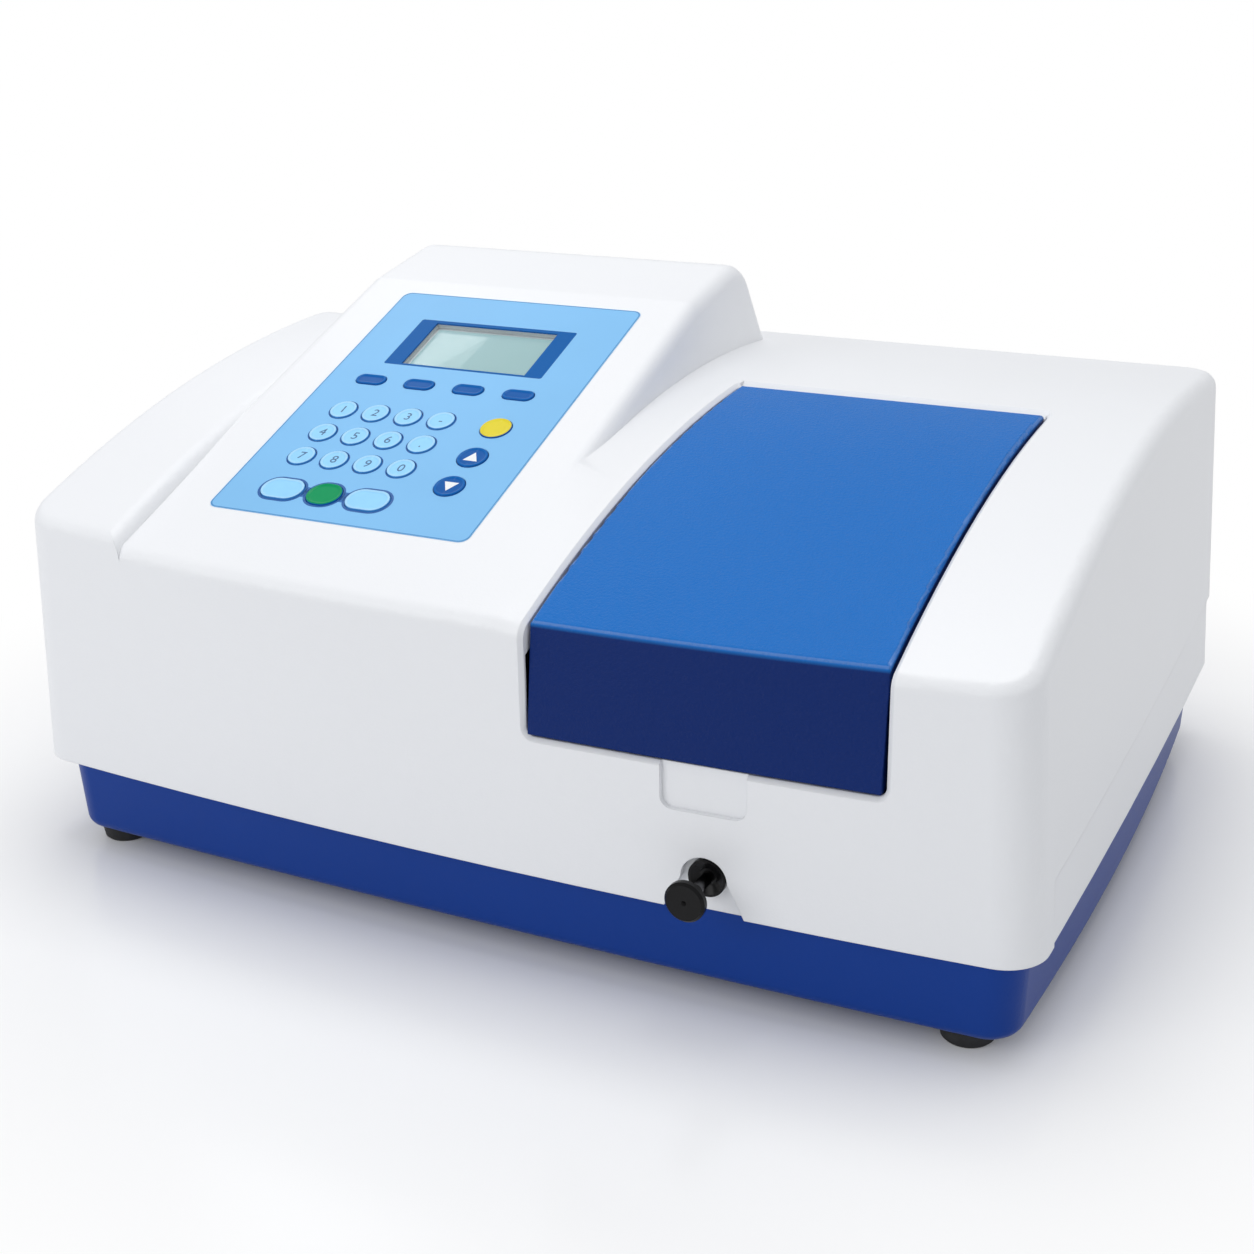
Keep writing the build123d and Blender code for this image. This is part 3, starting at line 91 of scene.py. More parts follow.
def moulded_plastic(name, colour, grain, relief=0.05, roughness=0.42, cloud=0.05, specular=0.5, edge=0.0):
    """Moulded plastic: cast-in grain, faint clouding of the pigment, uneven gloss and softened edges."""
    material, shader, add, join = new_material(name)
    place = add("ShaderNodeTexCoord")
    cloudy = add("ShaderNodeTexNoise", Scale=9.0, Detail=4.0)
    join(place.outputs["Object"], cloudy.inputs["Vector"])
    blend = add("ShaderNodeMix", data_type="RGBA")
    blend.inputs["A"].default_value = tint(colour, 1 - cloud)
    blend.inputs["B"].default_value = tint(colour, 1 + cloud)
    join(cloudy.outputs["Fac"], blend.inputs["Factor"])
    join(blend.outputs["Result"], shader.inputs["Base Color"])
    pits = add("ShaderNodeTexVoronoi", feature="SMOOTH_F1", Scale=1 / grain)
    grit = add("ShaderNodeTexNoise", Scale=2.3 / grain, Detail=3.0)
    join(place.outputs["Object"], pits.inputs["Vector"])
    join(place.outputs["Object"], grit.inputs["Vector"])
    height = add("ShaderNodeMath", operation="ADD")
    join(pits.outputs["Distance"], height.inputs[0])
    join(grit.outputs["Fac"], height.inputs[1])
    bump = add("ShaderNodeBump", Strength=relief * 4, Distance=grain * 0.25)
    join(height.outputs[0], bump.inputs["Height"])
    join(bump.outputs["Normal"], shader.inputs["Normal"])
    if edge:
        softened = add("ShaderNodeBevel", samples=4, Radius=edge)
        join(softened.outputs["Normal"], bump.inputs["Normal"])
    gloss = add("ShaderNodeMapRange")
    gloss.inputs["To Min"].default_value = roughness - 0.05
    gloss.inputs["To Max"].default_value = roughness + 0.05
    join(grit.outputs["Fac"], gloss.inputs["Value"])
    join(gloss.outputs["Result"], shader.inputs["Roughness"])
    shader.inputs["Specular IOR Level"].default_value = specular
    return material


def place_piece(piece, material, body, stands_for=()):
    """Links a finished piece and hands it to its body and the solids it stands for."""
    bpy.context.scene.collection.objects.link(piece)
    if material:
        piece.data.materials.clear()
        piece.data.materials.append(material)
    if stands_for:
        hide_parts(*stands_for)
    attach(piece, body)
    return piece


def smooth_skin(node, material, sharp=24):
    """A merged copy of a solid whose rounded faces shade smoothly and whose flats stay flat."""
    solid = frame["nodes"][node]
    mesh = solid.data.copy()
    mesh.name = f"{node}_skin"
    form = bmesh.new()
    form.from_mesh(mesh)
    bmesh.ops.remove_doubles(form, verts=form.verts, dist=2e-6)
    for face in form.faces:
        face.smooth = True
    for edge in form.edges:
        edge.smooth = len(edge.link_faces) == 2 and edge.calc_face_angle(0) < radians(sharp)
    form.to_mesh(mesh)
    form.free()
    piece = bpy.data.objects.new(f"{node}_skin", mesh)
    bpy.context.scene.collection.objects.link(piece)
    even = piece.modifiers.new("even_normals", "WEIGHTED_NORMAL")
    even.keep_sharp = True
    even.weight = 80
    graph = bpy.context.evaluated_depsgraph_get()
    piece.data = bpy.data.meshes.new_from_object(piece.evaluated_get(graph))
    piece.modifiers.clear()
    bpy.context.scene.collection.objects.unlink(piece)
    return place_piece(piece, material, solid["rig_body"], (node,))


base_plastic = moulded_plastic("base_plastic", BASE_BLUE, BASE_GRAIN, relief=0.04, roughness=0.36,
                               specular=0.14, edge=0.0008)
smooth_skin("base_tray", base_plastic)

# Feet: turned black rubber with a sunken hole for the screw that holds each of them.
# Rubber is dull and picks up a little dust, which pales it unevenly.
RUBBER_BLACK = (0.012, 0.012, 0.013, 1)


def rubber(name, colour):
    material, shader, add, join = new_material(name)
    place = add("ShaderNodeTexCoord")
    dust = add("ShaderNodeTexNoise", Scale=160.0, Detail=8.0, Roughness=0.7)
    join(place.outputs["Object"], dust.inputs["Vector"])
    ramp = add("ShaderNodeValToRGB")
    ramp.color_ramp.elements[0].position = 0.45
    ramp.color_ramp.elements[0].color = colour
    ramp.color_ramp.elements[1].position = 0.9
    ramp.color_ramp.elements[1].color = tint(colour, 3.2)
    join(dust.outputs["Fac"], ramp.inputs["Fac"])
    join(ramp.outputs["Color"], shader.inputs["Base Color"])
    bump = add("ShaderNodeBump", Strength=0.3, Distance=0.0002)
    join(dust.outputs["Fac"], bump.inputs["Height"])
    join(bump.outputs["Normal"], shader.inputs["Normal"])
    shader.inputs["Roughness"].default_value = 0.72
    return material


foot_rubber = rubber("foot_rubber", RUBBER_BLACK)
for corner in ("front_left", "front_right", "rear_left", "rear_right"):
    smooth_skin(f"foot_{corner}", foot_rubber)

# Screws: zinc-plated pan heads with a cross recess, put in from below.
# Four hold the feet, six the top cover; they are instances on the places of the CAD screws.
SCREW_HEAD = 0.0038
SCREW_SHANK = 0.0017
SCREW_DOME = 0.0026
SCREW_SIDES = 24
CROSS_WIDTH = 0.0011
CROSS_DEPTH = 0.0002
ZINC = (0.58, 0.59, 0.60, 1)


def plated_metal(name, colour, roughness=0.28):
    """Plated or drawn metal: bright, with fine uneven streaks in its gloss."""
    material, shader, add, join = new_material(name)
    place = add("ShaderNodeTexCoord")
    stretch = add("ShaderNodeMapping", Scale=(1.0, 0.06, 1.0))
    streak = add("ShaderNodeTexNoise", Scale=900.0, Detail=3.0)
    join(place.outputs["Object"], stretch.inputs["Vector"])
    join(stretch.outputs["Vector"], streak.inputs["Vector"])
    gloss = add("ShaderNodeMapRange")
    gloss.inputs["To Min"].default_value = roughness * 0.7
    gloss.inputs["To Max"].default_value = roughness * 1.4
    join(streak.outputs["Fac"], gloss.inputs["Value"])
    join(gloss.outputs["Result"], shader.inputs["Roughness"])
    shade = add("ShaderNodeMix", data_type="RGBA")
    shade.inputs["A"].default_value = tint(colour, 0.88)
    shade.inputs["B"].default_value = tint(colour, 1.08)
    join(streak.outputs["Fac"], shade.inputs["Factor"])
    join(shade.outputs["Result"], shader.inputs["Base Color"])
    shader.inputs["Metallic"].default_value = 1.0
    return material


def islands(node):
    """The centre and the lowest point of each separate solid of a CAD node."""
    form = bmesh.new()
    form.from_mesh(frame["nodes"][node].data)
    bmesh.ops.remove_doubles(form, verts=form.verts, dist=2e-6)
    left = set(form.verts)
    boxes = []
    while left:
        stack, piece = [left.pop()], []
        while stack:
            vert = stack.pop()
            piece.append(vert.co.copy())
            for edge in vert.link_edges:
                other = edge.other_vert(vert)
                if other in left:
                    left.remove(other)
                    stack.append(other)
        low = Vector(min(co[axis] for co in piece) for axis in range(3))
        high = Vector(max(co[axis] for co in piece) for axis in range(3))
        boxes.append((low, high))
    form.free()
    return sorted(boxes, key=lambda box: tuple(box[0]))


def pan_head_screw(length):
    """A screw that points up from the origin, its head below with a real cross recess."""
    outline = [(0.0, -SCREW_DOME * 0.75), (SCREW_HEAD * 0.55, -SCREW_DOME),
               (SCREW_HEAD * 0.9, -SCREW_DOME * 0.7), (SCREW_HEAD, -SCREW_DOME * 0.2),
               (SCREW_HEAD * 0.97, 0.0), (SCREW_SHANK, 0.0), (SCREW_SHANK, length), (0.0, length)]
    turns = [2 * pi * k / SCREW_SIDES for k in range(SCREW_SIDES)]
    form = bmesh.new()
    rings = []
    for radius, level in outline:
        round_it = turns if radius else turns[:1]
        rings.append([form.verts.new((radius * cos(turn), radius * sin(turn), level)) for turn in round_it])
    for lower, upper in zip(rings, rings[1:]):
        for k in range(SCREW_SIDES):
            near = [lower[k % len(lower)], lower[(k + 1) % len(lower)]]
            far = [upper[(k + 1) % len(upper)], upper[k % len(upper)]]
            form.faces.new(list(dict.fromkeys(near + far)))
    for angle in (0, pi / 2):
        slot = bmesh.ops.create_cube(form, size=1.0)["verts"]
        bmesh.ops.scale(form, vec=(SCREW_HEAD * 1.1, CROSS_WIDTH, CROSS_DEPTH), verts=slot)
        bmesh.ops.rotate(form, matrix=Matrix.Rotation(angle, 3, "Z"), verts=slot)
        bmesh.ops.translate(form, vec=(0, 0, -SCREW_DOME * 0.94), verts=slot)
    bmesh.ops.recalc_face_normals(form, faces=form.faces)
    mesh = bpy.data.meshes.new("pan_head_screw")
    form.to_mesh(mesh)
    form.free()
    return mesh


def scatter(name, points, instance, material, body, stands_for, turn=0.0):
    """Instances of a mesh on points by Geometry Nodes, made one plain mesh."""
    seat = bpy.data.meshes.new(f"{name}_seats")
    seat.from_pydata([tuple(p) for p in points], [], [])
    carrier = bpy.data.objects.new(f"{name}_seats", seat)
    model = bpy.data.objects.new(f"{name}_one", instance)
    for item in (carrier, model):
        bpy.context.scene.collection.objects.link(item)
    tree = bpy.data.node_groups.new(name, "GeometryNodeTree")
    face = tree.interface
    face.new_socket("Seats", in_out="INPUT", socket_type="NodeSocketGeometry")
    piece_in = face.new_socket("One piece", in_out="INPUT", socket_type="NodeSocketObject")
    turn_in = face.new_socket("Random turn", in_out="INPUT", socket_type="NodeSocketFloat")
    face.new_socket("Geometry", in_out="OUTPUT", socket_type="NodeSocketGeometry")
    given = tree.nodes.new("NodeGroupInput")
    result = tree.nodes.new("NodeGroupOutput")
    info = tree.nodes.new("GeometryNodeObjectInfo")
    chance = tree.nodes.new("FunctionNodeRandomValue")
    chance.inputs["Seed"].default_value = 7
    axis = tree.nodes.new("ShaderNodeCombineXYZ")
    place = tree.nodes.new("GeometryNodeInstanceOnPoints")
    real = tree.nodes.new("GeometryNodeRealizeInstances")
    coat = tree.nodes.new("GeometryNodeSetMaterial")
    coat.inputs["Material"].default_value = material
    link = tree.links.new
    link(given.outputs["Seats"], place.inputs["Points"])
    link(given.outputs["One piece"], info.inputs["Object"])
    link(info.outputs["Geometry"], place.inputs["Instance"])
    link(given.outputs["Random turn"], chance.inputs[3])
    link(chance.outputs[1], axis.inputs["Z"])
    link(axis.outputs["Vector"], place.inputs["Rotation"])
    link(place.outputs["Instances"], real.inputs["Geometry"])
    link(real.outputs["Geometry"], coat.inputs["Geometry"])
    link(coat.outputs["Geometry"], result.inputs["Geometry"])
    maker = carrier.modifiers.new(name, "NODES")
    maker.node_group = tree
    maker[piece_in.identifier] = model
    maker[turn_in.identifier] = turn
    graph = bpy.context.evaluated_depsgraph_get()
    mesh = bpy.data.meshes.new_from_object(carrier.evaluated_get(graph))
    mesh.name = name
    for item in (carrier, model):
        bpy.data.objects.remove(item)
    piece = bpy.data.objects.new(name, mesh)
    return place_piece(piece, None, body, stands_for)


zinc_plate = plated_metal("zinc_plate", ZINC)
for node in ("foot_screws", "cover_screws"):
    screws = islands(node)
    length = screws[0][1].z - screws[0][0].z - SCREW_DOME
    seats = [((low.x + high.x) / 2, (low.y + high.y) / 2, low.z + SCREW_DOME) for low, high in screws]
    scatter(f"{node}_fitted", seats, pan_head_screw(length), zinc_plate, "body", (node,),
            turn=2 * pi)

# Optics: the cast box of the monochromator with its cover, and the detector's can.
# Cast aluminium is left dull and slightly pitted; the sheet-metal can is painted grey.
CAST_GREY = (0.52, 0.53, 0.54, 1)
PANEL_GREY = (0.55, 0.56, 0.57, 1)


def sand_cast(name, colour):
    material, shader, add, join = new_material(name)
    place = add("ShaderNodeTexCoord")
    skin = add("ShaderNodeTexNoise", Scale=700.0, Detail=6.0)
    patch = add("ShaderNodeTexNoise", Scale=25.0, Detail=3.0)
    join(place.outputs["Object"], skin.inputs["Vector"])
    join(place.outputs["Object"], patch.inputs["Vector"])
    shade = add("ShaderNodeMix", data_type="RGBA")
    shade.inputs["A"].default_value = tint(colour, 0.8)
    shade.inputs["B"].default_value = tint(colour, 1.1)
    join(patch.outputs["Fac"], shade.inputs["Factor"])
    join(shade.outputs["Result"], shader.inputs["Base Color"])
    bump = add("ShaderNodeBump", Strength=0.5, Distance=0.0003)
    join(skin.outputs["Fac"], bump.inputs["Height"])
    join(bump.outputs["Normal"], shader.inputs["Normal"])
    shader.inputs["Metallic"].default_value = 1.0
    shader.inputs["Roughness"].default_value = 0.55
    return material


def powder_coat(name, colour, roughness=0.5):
    material, shader, add, join = new_material(name)
    place = add("ShaderNodeTexCoord")
    peel = add("ShaderNodeTexNoise", Scale=1400.0, Detail=2.0)
    join(place.outputs["Object"], peel.inputs["Vector"])
    shade = add("ShaderNodeMix", data_type="RGBA")
    shade.inputs["A"].default_value = tint(colour, 0.95)
    shade.inputs["B"].default_value = tint(colour, 1.05)
    join(peel.outputs["Fac"], shade.inputs["Factor"])
    join(shade.outputs["Result"], shader.inputs["Base Color"])
    bump = add("ShaderNodeBump", Strength=0.35, Distance=0.00015)
    join(peel.outputs["Fac"], bump.inputs["Height"])
    join(bump.outputs["Normal"], shader.inputs["Normal"])
    shader.inputs["Roughness"].default_value = roughness
    return material


def dress(node, material):
    """Gives a solid whose shape needs nothing more its own material."""
    mesh = frame["nodes"][node].data
    mesh.materials.clear()
    mesh.materials.append(material)


cast_metal = sand_cast("cast_metal", CAST_GREY)
grey_paint = powder_coat("grey_paint", PANEL_GREY)
dress("optics_housing", cast_metal)
dress("optics_cover", cast_metal)
dress("detector_housing", grey_paint)

# Lamp house: folded sheet with cooling slots round a halogen and a deuterium lamp.
# The lamps are fused-silica bulbs on ceramic bases, so the two zones part at the base's height.
LAMP_BASE_TOP = 0.0285


def lamp_capsule(name):
    material, shader, add, join = new_material(name)
    place = add("ShaderNodeTexCoord")
    split = add("ShaderNodeSeparateXYZ")
    join(place.outputs["Object"], split.inputs["Vector"])
    above = add("ShaderNodeMath", operation="GREATER_THAN")
    above.inputs[1].default_value = LAMP_BASE_TOP
    join(split.outputs["Z"], above.inputs[0])
    shade = add("ShaderNodeMix", data_type="RGBA")
    shade.inputs["A"].default_value = (0.78, 0.76, 0.70, 1)
    shade.inputs["B"].default_value = (0.62, 0.66, 0.72, 1)
    join(above.outputs[0], shade.inputs["Factor"])
    join(shade.outputs["Result"], shader.inputs["Base Color"])
    shader.inputs["Roughness"].default_value = 0.12
    return material


dress("lamp_housing", grey_paint)
lamp_glass = lamp_capsule("lamp_glass")
smooth_skin("halogen_lamp", lamp_glass)
smooth_skin("deuterium_lamp", lamp_glass)

# Electronics: green glass-fibre boards with soldered chips, and the boxed power supply.
# Tracks show as paler lines under the solder mask; the chips stand darker above the board.
BOARD_GREEN = (0.01, 0.12, 0.04, 1)


def circuit_board(name, chip_level=None):
    material, shader, add, join = new_material(name)
    place = add("ShaderNodeTexCoord")
    tracks = add("ShaderNodeTexBrick", Scale=90.0)
    tracks.inputs["Color1"].default_value = BOARD_GREEN
    tracks.inputs["Color2"].default_value = tint(BOARD_GREEN, 1.25)
    tracks.inputs["Mortar"].default_value = tint(BOARD_GREEN, 2.4)
    tracks.inputs["Mortar Size"].default_value = 0.04
    join(place.outputs["Object"], tracks.inputs["Vector"])
    colour = tracks.outputs["Color"]
    if chip_level:
        split = add("ShaderNodeSeparateXYZ")
        above = add("ShaderNodeMath", operation="GREATER_THAN")
        above.inputs[1].default_value = chip_level
        shade = add("ShaderNodeMix", data_type="RGBA")
        shade.inputs["B"].default_value = (0.012, 0.012, 0.013, 1)
        join(place.outputs["Object"], split.inputs["Vector"])
        join(split.outputs["Z"], above.inputs[0])
        join(above.outputs[0], shade.inputs["Factor"])
        join(colour, shade.inputs["A"])
        colour = shade.outputs["Result"]
    join(colour, shader.inputs["Base Color"])
    shader.inputs["Roughness"].default_value = 0.35
    return material


dress("main_board", circuit_board("main_board_mask", chip_level=0.0228))
dress("key_board", circuit_board("key_board_mask"))
dress("power_supply", grey_paint)

# Rear panel: a recessed grey sheet with the mains inlet, the rocker switch and the data socket.
# The connectors are black moulded plastic, the data socket's shell is plated steel.
PLASTIC_BLACK = (0.010, 0.010, 0.011, 1)
FINE_GRAIN = 0.0007
black_plastic = moulded_plastic("black_plastic", PLASTIC_BLACK, FINE_GRAIN, relief=0.04, roughness=0.45,
                                cloud=0.1)
bright_plate = plated_metal("bright_plate", (0.70, 0.71, 0.72, 1), roughness=0.16)
dress("rear_panel", powder_coat("rear_panel_paint", PANEL_GREY, roughness=0.42))
for node in ("power_inlet", "switch_housing"):
    dress(node, black_plastic)
dress("data_port", bright_plate)
smooth_skin("switch_rocker", black_plastic)

# Cooling fan: a black moulded frame with a pitched rotor that turns on its stub.
# Blades and frame are coarser forms, so only their sharper edges are kept crisp.
BLADE_EDGE = 40
smooth_skin("fan_housing", black_plastic, sharp=BLADE_EDGE)
smooth_skin("fan_rotor", black_plastic, sharp=BLADE_EDGE)

# Sample compartment: a deep well moulded in dead-black plastic so that stray light dies in it.
# Two ground rails run through it and a domed lens closes each port in its side walls.
WELL_BLACK = (0.006, 0.006, 0.0065, 1)
WELL_GRAIN = 0.0012
dress("sample_well", moulded_plastic("well_black", WELL_BLACK, WELL_GRAIN, relief=0.08, roughness=0.62))
smooth_skin("carriage_rails", plated_metal("ground_steel", (0.66, 0.67, 0.68, 1), roughness=0.18))


def clear_glass(name, colour, alpha):
    material, shader, add, join = new_material(name)
    place = add("ShaderNodeTexCoord")
    smear = add("ShaderNodeTexNoise", Scale=60.0, Detail=3.0)
    join(place.outputs["Object"], smear.inputs["Vector"])
    gloss = add("ShaderNodeMapRange")
    gloss.inputs["To Min"].default_value = 0.002
    gloss.inputs["To Max"].default_value = 0.012
    join(smear.outputs["Fac"], gloss.inputs["Value"])
    join(gloss.outputs["Result"], shader.inputs["Roughness"])
    shader.inputs["Base Color"].default_value = colour
    shader.inputs["Alpha"].default_value = alpha
    shader.inputs["IOR"].default_value = 1.5
    return material


smooth_skin("beam_lenses", clear_glass("lens_glass", (0.86, 0.92, 0.96, 1), 0.35))

# Cell carriage: a black anodised block with four square wells and light windows, milled from bar.
# It slides on the rails and is drawn forward by the dark plated rod with its gloss-black knob.
CELL_FIRST_MARK = Vector((0.1265, -0.0695, 0.0535))
CELL_PITCH = 0.018
CELL_MARK_HEIGHT = 0.0042


def anodised(name, colour):
    material, shader, add, join = new_material(name)
    place = add("ShaderNodeTexCoord")
    milled = add("ShaderNodeTexWave", wave_type="BANDS", Scale=260.0, Distortion=1.5)
    join(place.outputs["Object"], milled.inputs["Vector"])
    bump = add("ShaderNodeBump", Strength=0.12, Distance=0.00005)
    join(milled.outputs["Fac"], bump.inputs["Height"])
    join(bump.outputs["Normal"], shader.inputs["Normal"])
    shade = add("ShaderNodeMix", data_type="RGBA")
    shade.inputs["A"].default_value = colour
    shade.inputs["B"].default_value = tint(colour, 1.5)
    join(milled.outputs["Fac"], shade.inputs["Factor"])
    join(shade.outputs["Result"], shader.inputs["Base Color"])
    shader.inputs["Metallic"].default_value = 0.7
    shader.inputs["Roughness"].default_value = 0.38
    return material


def printed_ink(name, colour, roughness=0.4):
    """Screen-printed ink: almost even, a little thinner here and there."""
    material, shader, add, join = new_material(name)
    place = add("ShaderNodeTexCoord")
    thin = add("ShaderNodeTexNoise", Scale=1800.0, Detail=2.0)
    join(place.outputs["Object"], thin.inputs["Vector"])
    shade = add("ShaderNodeMix", data_type="RGBA")
    shade.inputs["A"].default_value = tint(colour, 0.92)
    shade.inputs["B"].default_value = tint(colour, 1.08)
    join(thin.outputs["Fac"], shade.inputs["Factor"])
    join(shade.outputs["Result"], shader.inputs["Base Color"])
    shader.inputs["Roughness"].default_value = roughness
    return material


def lettering(name, text, height, where, material, body, depth=0.00004):
    """A generic mark as a thin solid print: where is the matrix of its middle, +Z off the surface."""
    curve = bpy.data.curves.new(name, "FONT")
    curve.body = text
    curve.size = height * 1.4
    curve.align_x = "CENTER"
    curve.align_y = "CENTER"
    curve.extrude = depth
    curve.resolution_u = 4
    writer = bpy.data.objects.new(name, curve)
    bpy.context.scene.collection.objects.link(writer)
    graph = bpy.context.evaluated_depsgraph_get()
    mesh = bpy.data.meshes.new_from_object(writer.evaluated_get(graph))
    bpy.data.objects.remove(writer)
    mesh.name = name
    mesh.transform(where)
    return place_piece(bpy.data.objects.new(name, mesh), material, body)


smooth_skin("cell_carriage", anodised("black_anodising", (0.010, 0.010, 0.011, 1)), sharp=15)
white_ink = printed_ink("white_ink", (0.85, 0.86, 0.88, 1))
for index in range(4):
    spot = CELL_FIRST_MARK + Vector((0, index * CELL_PITCH, 0))
    lettering(f"cell_mark_{index + 1}", str(index + 1), CELL_MARK_HEIGHT, Matrix.Translation(spot), white_ink,
              "cell_changer")

KNOB_BLACK = (0.006, 0.006, 0.0065, 1)
KNOB_GRAIN = 0.0006
knob_gloss = moulded_plastic("knob_gloss", KNOB_BLACK, KNOB_GRAIN, relief=0.004, roughness=0.22, cloud=0.1,
                             specular=0.15)
smooth_skin("pull_rod", plated_metal("polished_rod", (0.09, 0.09, 0.095, 1), roughness=0.16))
smooth_skin("pull_knob", knob_gloss)
smooth_skin("rod_bush", knob_gloss)

# Top cover: the large white moulding, drafted and softly rounded, with a fine stipple.
# Wing, arched deck and console are one shell, so one grain runs over all of it.
COVER_WHITE = (0.86, 0.872, 0.895, 1)
COVER_GRAIN = 0.0011
COVER_FRONT = -0.1645
SEAM_LEVEL = 0.0705
SEAM_SLOPE = 0.0265
SEAM_START = 0.0245
SEAM_WIDTH = 0.0008
SEAM_SHADE_GREY = (0.10, 0.10, 0.11, 1)


def shade_joint(material):
    """Paints shade into the groove of the cover's joint line, which rises towards the rear."""
    shader, add, join = open_material(material)
    colour = shader.inputs["Base Color"].links[0].from_socket
    place = add("ShaderNodeTexCoord")
    level = add("ShaderNodeVectorMath", operation="DOT_PRODUCT")
    level.inputs[1].default_value = (0, -SEAM_SLOPE, 1)
    inside = add("ShaderNodeMath", operation="COMPARE")
    inside.inputs[1].default_value = SEAM_LEVEL - SEAM_SLOPE * COVER_FRONT - SEAM_WIDTH / 2
    inside.inputs[2].default_value = SEAM_WIDTH * 0.48
    split = add("ShaderNodeSeparateXYZ")
    behind = add("ShaderNodeMath", operation="GREATER_THAN")
    behind.inputs[1].default_value = COVER_FRONT + SEAM_START
    both = add("ShaderNodeMath", operation="MULTIPLY")
    # painted shade: the groove's surfaces take a dark grey
    shade = add("ShaderNodeMix", data_type="RGBA")
    shade.inputs["B"].default_value = SEAM_SHADE_GREY
    join(place.outputs["Object"], level.inputs[0])
    join(level.outputs["Value"], inside.inputs[0])
    join(place.outputs["Object"], split.inputs["Vector"])
    join(split.outputs["Y"], behind.inputs[0])
    join(inside.outputs[0], both.inputs[0])
    join(behind.outputs[0], both.inputs[1])
    join(both.outputs[0], shade.inputs["Factor"])
    join(colour, shade.inputs["A"])
    join(shade.outputs["Result"], shader.inputs["Base Color"])
    return material


cover_plastic = moulded_plastic("cover_plastic", COVER_WHITE, COVER_GRAIN, relief=0.035, roughness=0.40,
                                cloud=0.012, edge=0.0007)
smooth_skin("top_cover", shade_joint(cover_plastic))

# Display: a reflective panel in a pale frame, held under the console behind a clear window.
# The panel and its frame are a glass plate on a tray; the moulded key frame lies beside them.
CONSOLE_TILT = radians(20.5)
KEYPAD_MIDDLE = Vector((-0.0837, -0.04695, 0.20075))
keypad = Matrix.Translation(KEYPAD_MIDDLE) @ Matrix.Rotation(CONSOLE_TILT, 4, "X")
WINDOW_MIDDLE = (-0.0009, 0.0486)
WINDOW_SIZE = (0.0676, 0.0364)
DISPLAY_LEVEL = -0.0026
DISPLAY_RIM = 0.0014
GLASS_THICKNESS = 0.0004
TRAY_MARGIN = 0.0025
TRAY_BOTTOM = -0.0062


def display_face(name):
    """The resting display: grey-green, painted a touch lighter at its lower left and darker away from it, a
    painted glare and painted shade.
    """
    material, shader, add, join = new_material(name)
    place = add("ShaderNodeTexCoord")
    # painted glare and shade: a slanted gradient across the display
    slant = add("ShaderNodeMapping", Location=(1.6, 0, 0), Rotation=(0, 0, 0.5), Scale=(11, 11, 0))
    fade = add("ShaderNodeTexGradient")
    ramp = add("ShaderNodeValToRGB")
    ramp.color_ramp.elements[0].color = (0.36, 0.58, 0.61, 1)
    ramp.color_ramp.elements[1].color = (0.27, 0.48, 0.49, 1)
    join(place.outputs["Object"], slant.inputs["Vector"])
    join(slant.outputs["Vector"], fade.inputs["Vector"])
    join(fade.outputs["Fac"], ramp.inputs["Fac"])
    join(ramp.outputs["Color"], shader.inputs["Base Color"])
    shader.inputs["Roughness"].default_value = 0.45
    shader.inputs["Specular IOR Level"].default_value = 0.1
    shader.inputs["Coat Weight"].default_value = 1.0
    shader.inputs["Coat Roughness"].default_value = 0.012
    return material


def console_plate(name, loops, material, body, stands_for=(), zones=None, smooth=False):
    """A closed solid on the console from loops of (outline points, level) in keypad coordinates."""
    form = bmesh.new()
    rings = [[form.verts.new((x, y, level)) for x, y in outline] for outline, level in loops]
    count = len(rings[0])
    for band, (lower, upper) in enumerate(zip(rings, rings[1:])):
        for k in range(count):
            face = form.faces.new((lower[k], lower[(k + 1) % count], upper[(k + 1) % count], upper[k]))
            face.material_index = zones[band] if zones else 0
            face.smooth = smooth
    form.faces.new(rings[0][::-1]).material_index = zones[0] if zones else 0
    form.faces.new(rings[-1]).material_index = zones[-1] if zones else 0
    bmesh.ops.recalc_face_normals(form, faces=form.faces)
    mesh = bpy.data.meshes.new(name)
    form.to_mesh(mesh)
    form.free()
    mesh.transform(keypad)
    piece = bpy.data.objects.new(name, mesh)
    if isinstance(material, list):
        for item in material:
            mesh.materials.append(item)
        material = None
    return place_piece(piece, material, body, stands_for)


def rectangle(middle, size, grow=0.0, corner=0.0, steps=6):
    """The outline of a rectangle with rounded corners."""
    half_x, half_y = size[0] / 2 + grow, size[1] / 2 + grow
    if not corner:
        corners = ((-1, -1), (1, -1), (1, 1), (-1, 1))
        return [(middle[0] + sx * half_x, middle[1] + sy * half_y) for sx, sy in corners]
    points = []
    for quarter, (sx, sy) in enumerate(((1, 1), (-1, 1), (-1, -1), (1, -1))):
        for step in range(steps + 1):
            angle = (quarter + step / steps) * pi / 2
            points.append((middle[0] + sx * (half_x - corner) + corner * cos(angle),
                           middle[1] + sy * (half_y - corner) + corner * sin(angle)))
    return points


pale_frame = printed_ink("pale_frame", (0.66, 0.74, 0.77, 1), roughness=0.3)
tray_outline = rectangle(WINDOW_MIDDLE, WINDOW_SIZE, TRAY_MARGIN)
glass_outline = rectangle(WINDOW_MIDDLE, WINDOW_SIZE, -DISPLAY_RIM)
glass_bottom = DISPLAY_LEVEL - GLASS_THICKNESS
console_plate("display_tray", [(tray_outline, TRAY_BOTTOM), (tray_outline, glass_bottom)],
              pale_frame, "body", ("lcd_module",))
console_plate("display_glass", [(glass_outline, glass_bottom), (glass_outline, DISPLAY_LEVEL)],
              display_face("display_face"), "body")
smooth_skin("display_window", clear_glass("window_film", (0.9, 0.95, 0.96, 1), 0.06))
dress("key_frame", printed_ink("frame_grey", (0.42, 0.46, 0.48, 1)))

